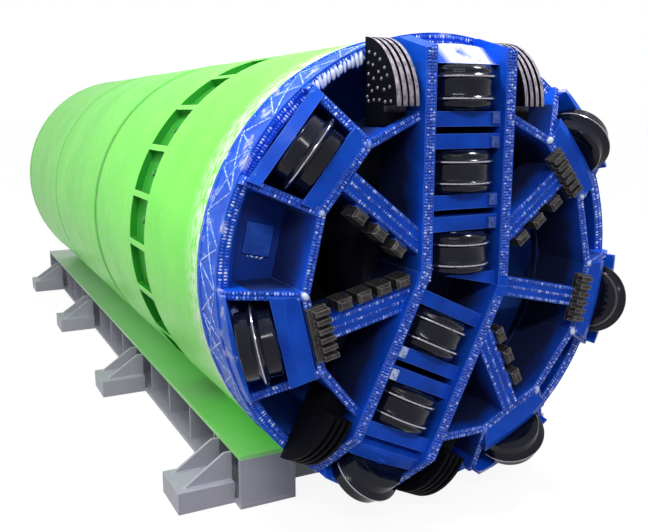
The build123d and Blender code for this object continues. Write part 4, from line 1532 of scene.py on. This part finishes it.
@dataclass
class MachineRoom:
    """What fills the rear can: lozenges on the deck, cabinet doors, pipe flanges and motor fins."""

    lozenge_pitch: float = 0.05
    lozenge_size: tuple[float, float, float] = (0.032, 0.009, 0.004)
    deck_border: float = 0.04
    cabinet_border: float = 0.03
    door_gap: float = 0.03
    door_proud: float = 0.012
    pipe_x: float = 0.3
    pipe_drop: float = 0.76
    pipe_radius: float = 0.09
    flange_radius: float = 0.12
    flange_bolts_at: float = 0.105
    flange_bolts_up: float = 0.022
    flange_places: tuple[float, ...] = (1.6, 3.1, 4.6)
    motor_circle: float = 0.29
    motor_radius: float = 0.095
    motor_count: int = 6
    motor_fin_count: int = 14

    def deck_lozenges(self) -> None:
        """Raised lozenges of chequer plate, turned alternately left and right."""
        lozenge = dome("lozenge_pattern", 6, self.lozenge_size)
        low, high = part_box("machine_deck")
        boxes = [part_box(name) for name in ("control_cabinet", "power_pack")]
        half = (high.x - low.x) / 2 - self.deck_border
        places = []
        across = int(2 * half / self.lozenge_pitch)
        along = int((high.y - low.y) / self.lozenge_pitch)
        edge = self.cabinet_border
        for row in range(along):
            for column in range(across):
                x = -half + (column + 0.5) * self.lozenge_pitch
                y = low.y + (row + 0.5) * self.lozenge_pitch
                if any(a.x - edge < x < b.x + edge and a.y - edge < y < b.y + edge for a, b in boxes):
                    continue
                along_lozenge = Vector((1, 1 if (row + column) % 2 else -1, 0))
                places.append(turn_to(Vector((x, y, high.z)), UP, along_lozenge))
        dress(copies("deck_lozenges", lozenge, places), Finish.DECK_STEEL, "shield")
        bpy.data.objects.remove(lozenge)

    def panels(self, name: str, width: float, height: float, doors: int) -> Piece:
        """Models a row of doors with vents, grips and hinges, facing +X with its foot at the origin.

        Args:
            name: Name of the new object.
            width: Width of the row.
            height: Height of the cabinet.
            doors: How many doors stand in the row.

        Returns:
            The doors as one object.
        """
        parts = []
        leaf = width / doors - self.door_gap
        tall = height - 2 * self.door_gap
        for number in range(doors):
            centre = Vector((self.door_proud / 2, (number + 0.5) * width / doors - width / 2, height / 2))
            parts.append(slab("door_part", centre, Vector((self.door_proud, leaf, tall)), 0.004))
            for vent in range(5):
                place = centre + Vector((0.008, 0, tall * 0.2 + vent * 0.022))
                parts.append(slab("door_part", place, Vector((0.008, leaf * 0.55, 0.008)), 0.002))
            grip = centre + Vector((0.014, -leaf * 0.38, 0))
            parts.append(slab("door_part", grip, Vector((0.02, 0.018, 0.1)), 0.005))
            for hinge in (-0.36, 0.36):
                place = centre + Vector((0.006, leaf * 0.49, tall * hinge))
                parts.append(slab("door_part", place, Vector((0.014, 0.016, 0.05)), 0.003))
        row = join(parts)
        row.name = name
        return row

    def doors(self, node: str, finish: Finish, slot: str) -> None:
        """Hangs doors on both long sides and both ends of a cabinet.

        Args:
            node: The CAD cabinet.
            finish: Finish of the doors.
            slot: The record's material slot; not used.
        """
        low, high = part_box(node)
        middle = Vector(((low.x + high.x) / 2, (low.y + high.y) / 2, low.z))
        long_row = self.panels(f"{node}_side", high.y - low.y, high.z - low.z, 2)
        short_row = self.panels(f"{node}_end", high.x - low.x, high.z - low.z, 1)
        for row, name, turn, reach in (
            (long_row, "inner", 0.0, (high.x - low.x) / 2),
            (long_row, "outer", tau / 2, (high.x - low.x) / 2),
            (short_row, "rear", tau / 4, (high.y - low.y) / 2),
            (short_row, "front", -tau / 4, (high.y - low.y) / 2),
        ):
            stand = Matrix.Translation(middle) @ Matrix.Rotation(turn, 4, "Z")
            place = stand @ Matrix.Translation((reach, 0, 0))
            dress(copies(f"{node}_{name}_doors", row, [place]), finish, "shield")
        bpy.data.objects.remove(long_row)
        bpy.data.objects.remove(short_row)

    def pipe_flanges(self) -> None:
        """Bolted flange pairs along the two slurry pipes."""
        half = [
            (-0.024, self.pipe_radius + 0.001), (-0.024, self.flange_radius - 0.003),
            (-0.021, self.flange_radius), (-0.003, self.flange_radius), (-0.002, self.flange_radius - 0.006),
        ]
        flange = turned("flange_pattern", half + [(-place, size) for place, size in reversed(half)], 40)
        bolt = hex_bolt("flange_bolt", 0.02, 0.012, 0.012)
        arm = Matrix.Translation((self.flange_bolts_at, 0, self.flange_bolts_up))
        turns = [Matrix.Rotation(tau * step / 8, 4, "Z") @ arm for step in range(8)]
        flange = join([flange, copies("flange_bolts", bolt, turns)])
        bpy.data.objects.remove(bolt)
        places = []
        for side in (-1, 1):
            for distance in self.flange_places:
                place = Vector((side * self.pipe_x, HEAD_JOINT + distance, AXIS_HEIGHT - self.pipe_drop))
                places.append(turn_to(place, BACK, RIGHT))
        dress(copies("pipe_flanges", flange, places), Finish.PIPE_STEEL, "shield")
        bpy.data.objects.remove(flange)

    def motor_fins(self) -> None:
        """Cooling fins and a fan cowl round each drive motor."""
        low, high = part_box("drive_motors")
        length = high.y - low.y
        root, tip = self.motor_radius + 0.001, self.motor_radius + 0.009
        cowl = self.motor_radius + 0.006
        stations = [(0.0, root)]
        for fin in range(self.motor_fin_count):
            start = 0.02 + fin * (length - 0.12) / self.motor_fin_count
            stations += [(start, root), (start + 0.002, tip), (start + 0.007, tip), (start + 0.009, root)]
        stations += [
            (length - 0.09, root), (length - 0.088, cowl), (length - 0.004, cowl),
            (length + 0.004, self.motor_radius - 0.004), (length + 0.006, self.motor_radius * 0.5),
            (length + 0.004, self.motor_radius * 0.2),
        ]
        motor = turned("motor_pattern", stations, 32)
        places = []
        for step in range(self.motor_count):
            angle = tau * step / self.motor_count + tau / 4
            out = Vector((cos(angle), 0, sin(angle))) * self.motor_circle
            places.append(turn_to(Vector((0, low.y, AXIS_HEIGHT)) + out, BACK, RIGHT))
        dress(copies("motor_fins", motor, places), Finish.MOTOR_BLUE, "shield")
        bpy.data.objects.remove(motor)

    def build(self) -> None:
        """Models the trim of the machine room."""
        self.deck_lozenges()
        self.doors("control_cabinet", Finish.CABINET_GREY, "cabinet_paint")
        self.doors("power_pack", Finish.MOTOR_BLUE, "motor_paint")
        self.pipe_flanges()
        self.motor_fins()


@dataclass
class DiscCutter:
    """One size of disc cutter: a turned hub with its cutting rings, ready to copy."""

    name: str
    length: float
    ring_centres: tuple[float, ...]
    root: float
    barrel: float
    end_radius: float
    tip: float = 9.0
    radius: float = 164.0
    bore: float = 35.5
    edge: float = 1.5
    retainer: float = 96.0
    retainer_step: float = 2.5

    def stations(self) -> list[tuple[float, float]]:
        """Draws half the cutter's section.

        Returns:
            Height and radius of the section's corners in metres, from the inner end.
        """
        half = self.length / 2
        step = self.barrel - self.end_radius
        lower = [
            (-half, self.bore + 8), (-half, self.retainer), (-half + self.retainer_step, self.retainer + 1),
            (-half + self.retainer_step, self.end_radius - self.edge), (-half + 4, self.end_radius + 2),
            (-half + step - 3, self.barrel - 3), (-half + step, self.barrel - 1),
            (-half + step + 4, self.barrel),
        ]
        upper = [(-height, size) for height, size in reversed(lower)]
        middle = []
        for number, centre in enumerate(self.ring_centres):
            if number:
                middle += [(-18.0, self.barrel - 1), (-8.0, self.barrel - 2.5), (0.0, self.barrel - 3)]
                middle += [(8.0, self.barrel - 2.5), (18.0, self.barrel - 1)]
            flank = [
                (self.root / 2 + 1.5, self.barrel), (self.root / 2 - 1, self.barrel + 1),
                (self.tip / 2 + 2.5, self.radius - 3.2), (self.tip / 2, self.radius - 0.7),
                (self.tip / 5, self.radius),
            ]
            middle += [(centre - away, size) for away, size in flank]
            middle += [(centre + away, size) for away, size in reversed(flank)]
        return [(height * MM, size * MM) for height, size in lower + middle + upper]

    def pattern(self) -> Piece:
        """Models the cutter about the Z axis, with how worn each point is kept as an attribute, which also lays a
        painted highlight on the ring tips.

        Returns:
            The cutter.
        """
        piece = turned(self.name, self.stations(), 72)
        sizes = np.array([(v.co.x**2 + v.co.y**2) ** 0.5 / MM for v in piece.data.vertices])
        # Ring tips marked for bright steel: wear, and a painted highlight of their edges.
        worn = np.clip((sizes - (self.radius - 1)) / 0.6, 0, 1)
        wear = piece.data.attributes.new("wear", "FLOAT", "POINT")
        wear.data.foreach_set("value", worn.astype(np.float32))
        return piece

    def place(self, pattern: Piece, node: str) -> None:
        """Copies the pattern to where a CAD cutter is, and lets the copy stand for it.

        Args:
            pattern: The cutter about the Z axis.
            node: The CAD cutter.
        """
        row = joint_row(f"{node}_spin")
        piece = bpy.data.objects.new(f"{node}_turned", pattern.data.copy())
        bpy.context.scene.collection.objects.link(piece)
        turn = Vector(row["axis"]).to_track_quat("Z", "Y").to_matrix().to_4x4()
        piece.data.transform(Matrix.Translation(row["pos_m"]) @ turn)
        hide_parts(node)
        dress(piece, Finish.CUTTER_BLACK, f"{node}_body")


def build_cutters() -> None:
    """Puts the detailed cutters in the place of the plain ones."""
    kinds = (
        (DiscCutter("twin_cutter_pattern", 175.0, (-43.0, 43.0), 26.0, 154.0, 136.0), "twin_cutter_", 5),
        (DiscCutter("gauge_cutter_pattern", 150.0, (0.0,), 42.0, 139.0, 132.0), "gauge_cutter_", 6),
    )
    for cutter, start, count in kinds:
        pattern = cutter.pattern()
        for number in range(1, count + 1):
            cutter.place(pattern, f"{start}{number}")
        bpy.data.objects.remove(pattern)


@dataclass
class Studio:
    """Pale floor, white surroundings, soft lamps and the camera of the photograph."""

    camera_place: tuple[float, float, float] = (-1.9495, -5.808, 1.7933)
    camera_pitch: float = 78.84
    camera_yaw: float = -26.8
    lens_mm: float = 43.43
    sensor_mm: float = 36.0
    floor_reach: float = 400.0
    world_strength: float = 0.9
    low_strength: float = 0.22
    roof_sizes: tuple[float, float] = (0.6, 0.6)
    front_sizes: tuple[float, float] = (3.2, 0.35)
    roof_power: float = 115.0
    floor_glow: float = 1.05
    floor_share: float = 0.86
    floor_colour: str = "#8a8a8a"
    front_power: float = 130.0
    fill_power: float = 60.0
    fill_sizes: tuple[float, float] = (3.5, 3.5)
    clip_end: float = 900.0

    def white_on(self, tree: Tree) -> Socket:
        """Finds the rays that see white surroundings.

        Args:
            tree: The node tree.

        Returns:
            A factor that is 1 where a ray from the camera, a gloss or a glass arrives.
        """
        rays = add_node(tree, "LightPath").node.outputs
        first = add_node(
            tree, "Math", {"operation": "MAXIMUM", 0: rays["Is Camera Ray"], 1: rays["Is Glossy Ray"]}
        )
        return add_node(tree, "Math", {"operation": "MAXIMUM", 0: first, 1: rays["Is Transmission Ray"]})

    def build_world(self) -> None:
        """White to the camera and in reflections, and a plain soft light otherwise."""
        world = bpy.data.worlds.new("studio_surroundings")
        bpy.context.scene.world = world
        world.use_nodes = True
        tree = world.node_tree
        tree.nodes.clear()
        up = axes_of(tree, add_node(tree, "TexCoord", output="Generated"))["Z"]
        level = add_node(
            tree, "MapRange",
            {"From Min": -0.2, "From Max": 1.0, "To Min": self.low_strength, "To Max": self.world_strength,
             "Value": up},
        )
        light = add_node(tree, "Background", {"Color": linear("#f4f6fa"), "Strength": level})
        white = add_node(tree, "Background", {"Color": (1, 1, 1, 1), "Strength": 1.0})
        mix = add_node(tree, "MixShader", {0: self.white_on(tree), 1: light, 2: white})
        add_node(tree, "OutputWorld", {"Surface": mix})

    def build_floor(self) -> None:
        """A wide pale floor that keeps the machine's shadow."""
        bpy.ops.mesh.primitive_plane_add(size=self.floor_reach, location=(0, 0, 0))
        floor = bpy.context.active_object
        floor.name = "studio_floor"
        material, tree, _ = new_material("studio_floor_paint")
        seen = self.white_on(tree)
        shade = add_node(
            tree, "Mix", {"data_type": "RGBA", 0: seen, 6: linear(self.floor_colour), 7: (1, 1, 1, 1)}, 2
        )
        matt = add_node(tree, "BsdfDiffuse", {"Color": shade})
        glow = add_node(tree, "Emission", {"Color": (1, 1, 1, 1), "Strength": self.floor_glow})
        share = add_node(tree, "Math", {"operation": "MULTIPLY", 0: seen, 1: self.floor_share})
        mix = add_node(tree, "MixShader", {0: share, 1: matt, 2: glow})
        add_node(tree, "OutputMaterial", {"Surface": mix})
        floor.data.materials.append(material)

    def lamp(self, name: str, place: tuple, target: tuple, sizes: tuple[float, float], power: float) -> None:
        """Adds an area lamp that points at a target.

        Args:
            name: Name of the lamp.
            place: Where it hangs.
            target: What it points at.
            sizes: Width along the floor and depth.
            power: Power in watts.
        """
        data = bpy.data.lights.new(name, "AREA")
        data.shape = "RECTANGLE"
        data.size, data.size_y = sizes
        data.energy = power
        lamp = bpy.data.objects.new(name, data)
        bpy.context.scene.collection.objects.link(lamp)
        lamp.location = place
        lamp.rotation_euler = (Vector(target) - Vector(place)).to_track_quat("-Z", "Y").to_euler()

    def build_camera(self) -> None:
        """The photograph's viewpoint: a standing person's view of the head from its left."""
        data = bpy.data.cameras.new("photo_camera")
        data.lens = self.lens_mm
        data.sensor_width = self.sensor_mm
        data.clip_end = self.clip_end
        camera = bpy.data.objects.new("photo_camera", data)
        bpy.context.scene.collection.objects.link(camera)
        camera.location = self.camera_place
        camera.rotation_euler = (radians(self.camera_pitch), 0, radians(self.camera_yaw))
        bpy.context.scene.camera = camera

    def build(self) -> None:
        """Sets up everything round the machine."""
        bpy.context.scene.view_settings.view_transform = "Standard"
        self.build_world()
        self.build_floor()
        self.lamp("right_roof_lamp", (2.1, -3.3, 5.0), (0, -2.6, 1.2), self.roof_sizes, self.roof_power)
        self.lamp("left_roof_lamp", (-1.9, -3.0, 5.0), (0, -2.6, 1.2), self.roof_sizes, self.roof_power)
        self.lamp("front_lamp", (-2.3, -7.7, 4.6), (0, -2.9, 1.1), self.front_sizes, self.front_power)
        self.lamp("side_lamp", (-6.0, -2.0, 3.0), (0, -0.5, 1.0), self.fill_sizes, self.fill_power)
        self.build_camera()
        log.info("studio ready")


def main() -> None:
    """Builds the looks of the machine, one sub-assembly after the other."""
    logging.basicConfig(level=logging.INFO, format="%(name)s: %(message)s")
    bpy.ops.object.select_all(action="DESELECT")
    dress_nodes()
    Studio().build()
    bead = make_bead()
    Cutterhead().build(bead)
    ShieldTrim().build(bead)
    HeadTrim().build(bead)
    CradleWelds().build(bead)
    bpy.data.objects.remove(bead)
    MachineRoom().build()
    build_cutters()


if __name__ == "__main__":
    main()
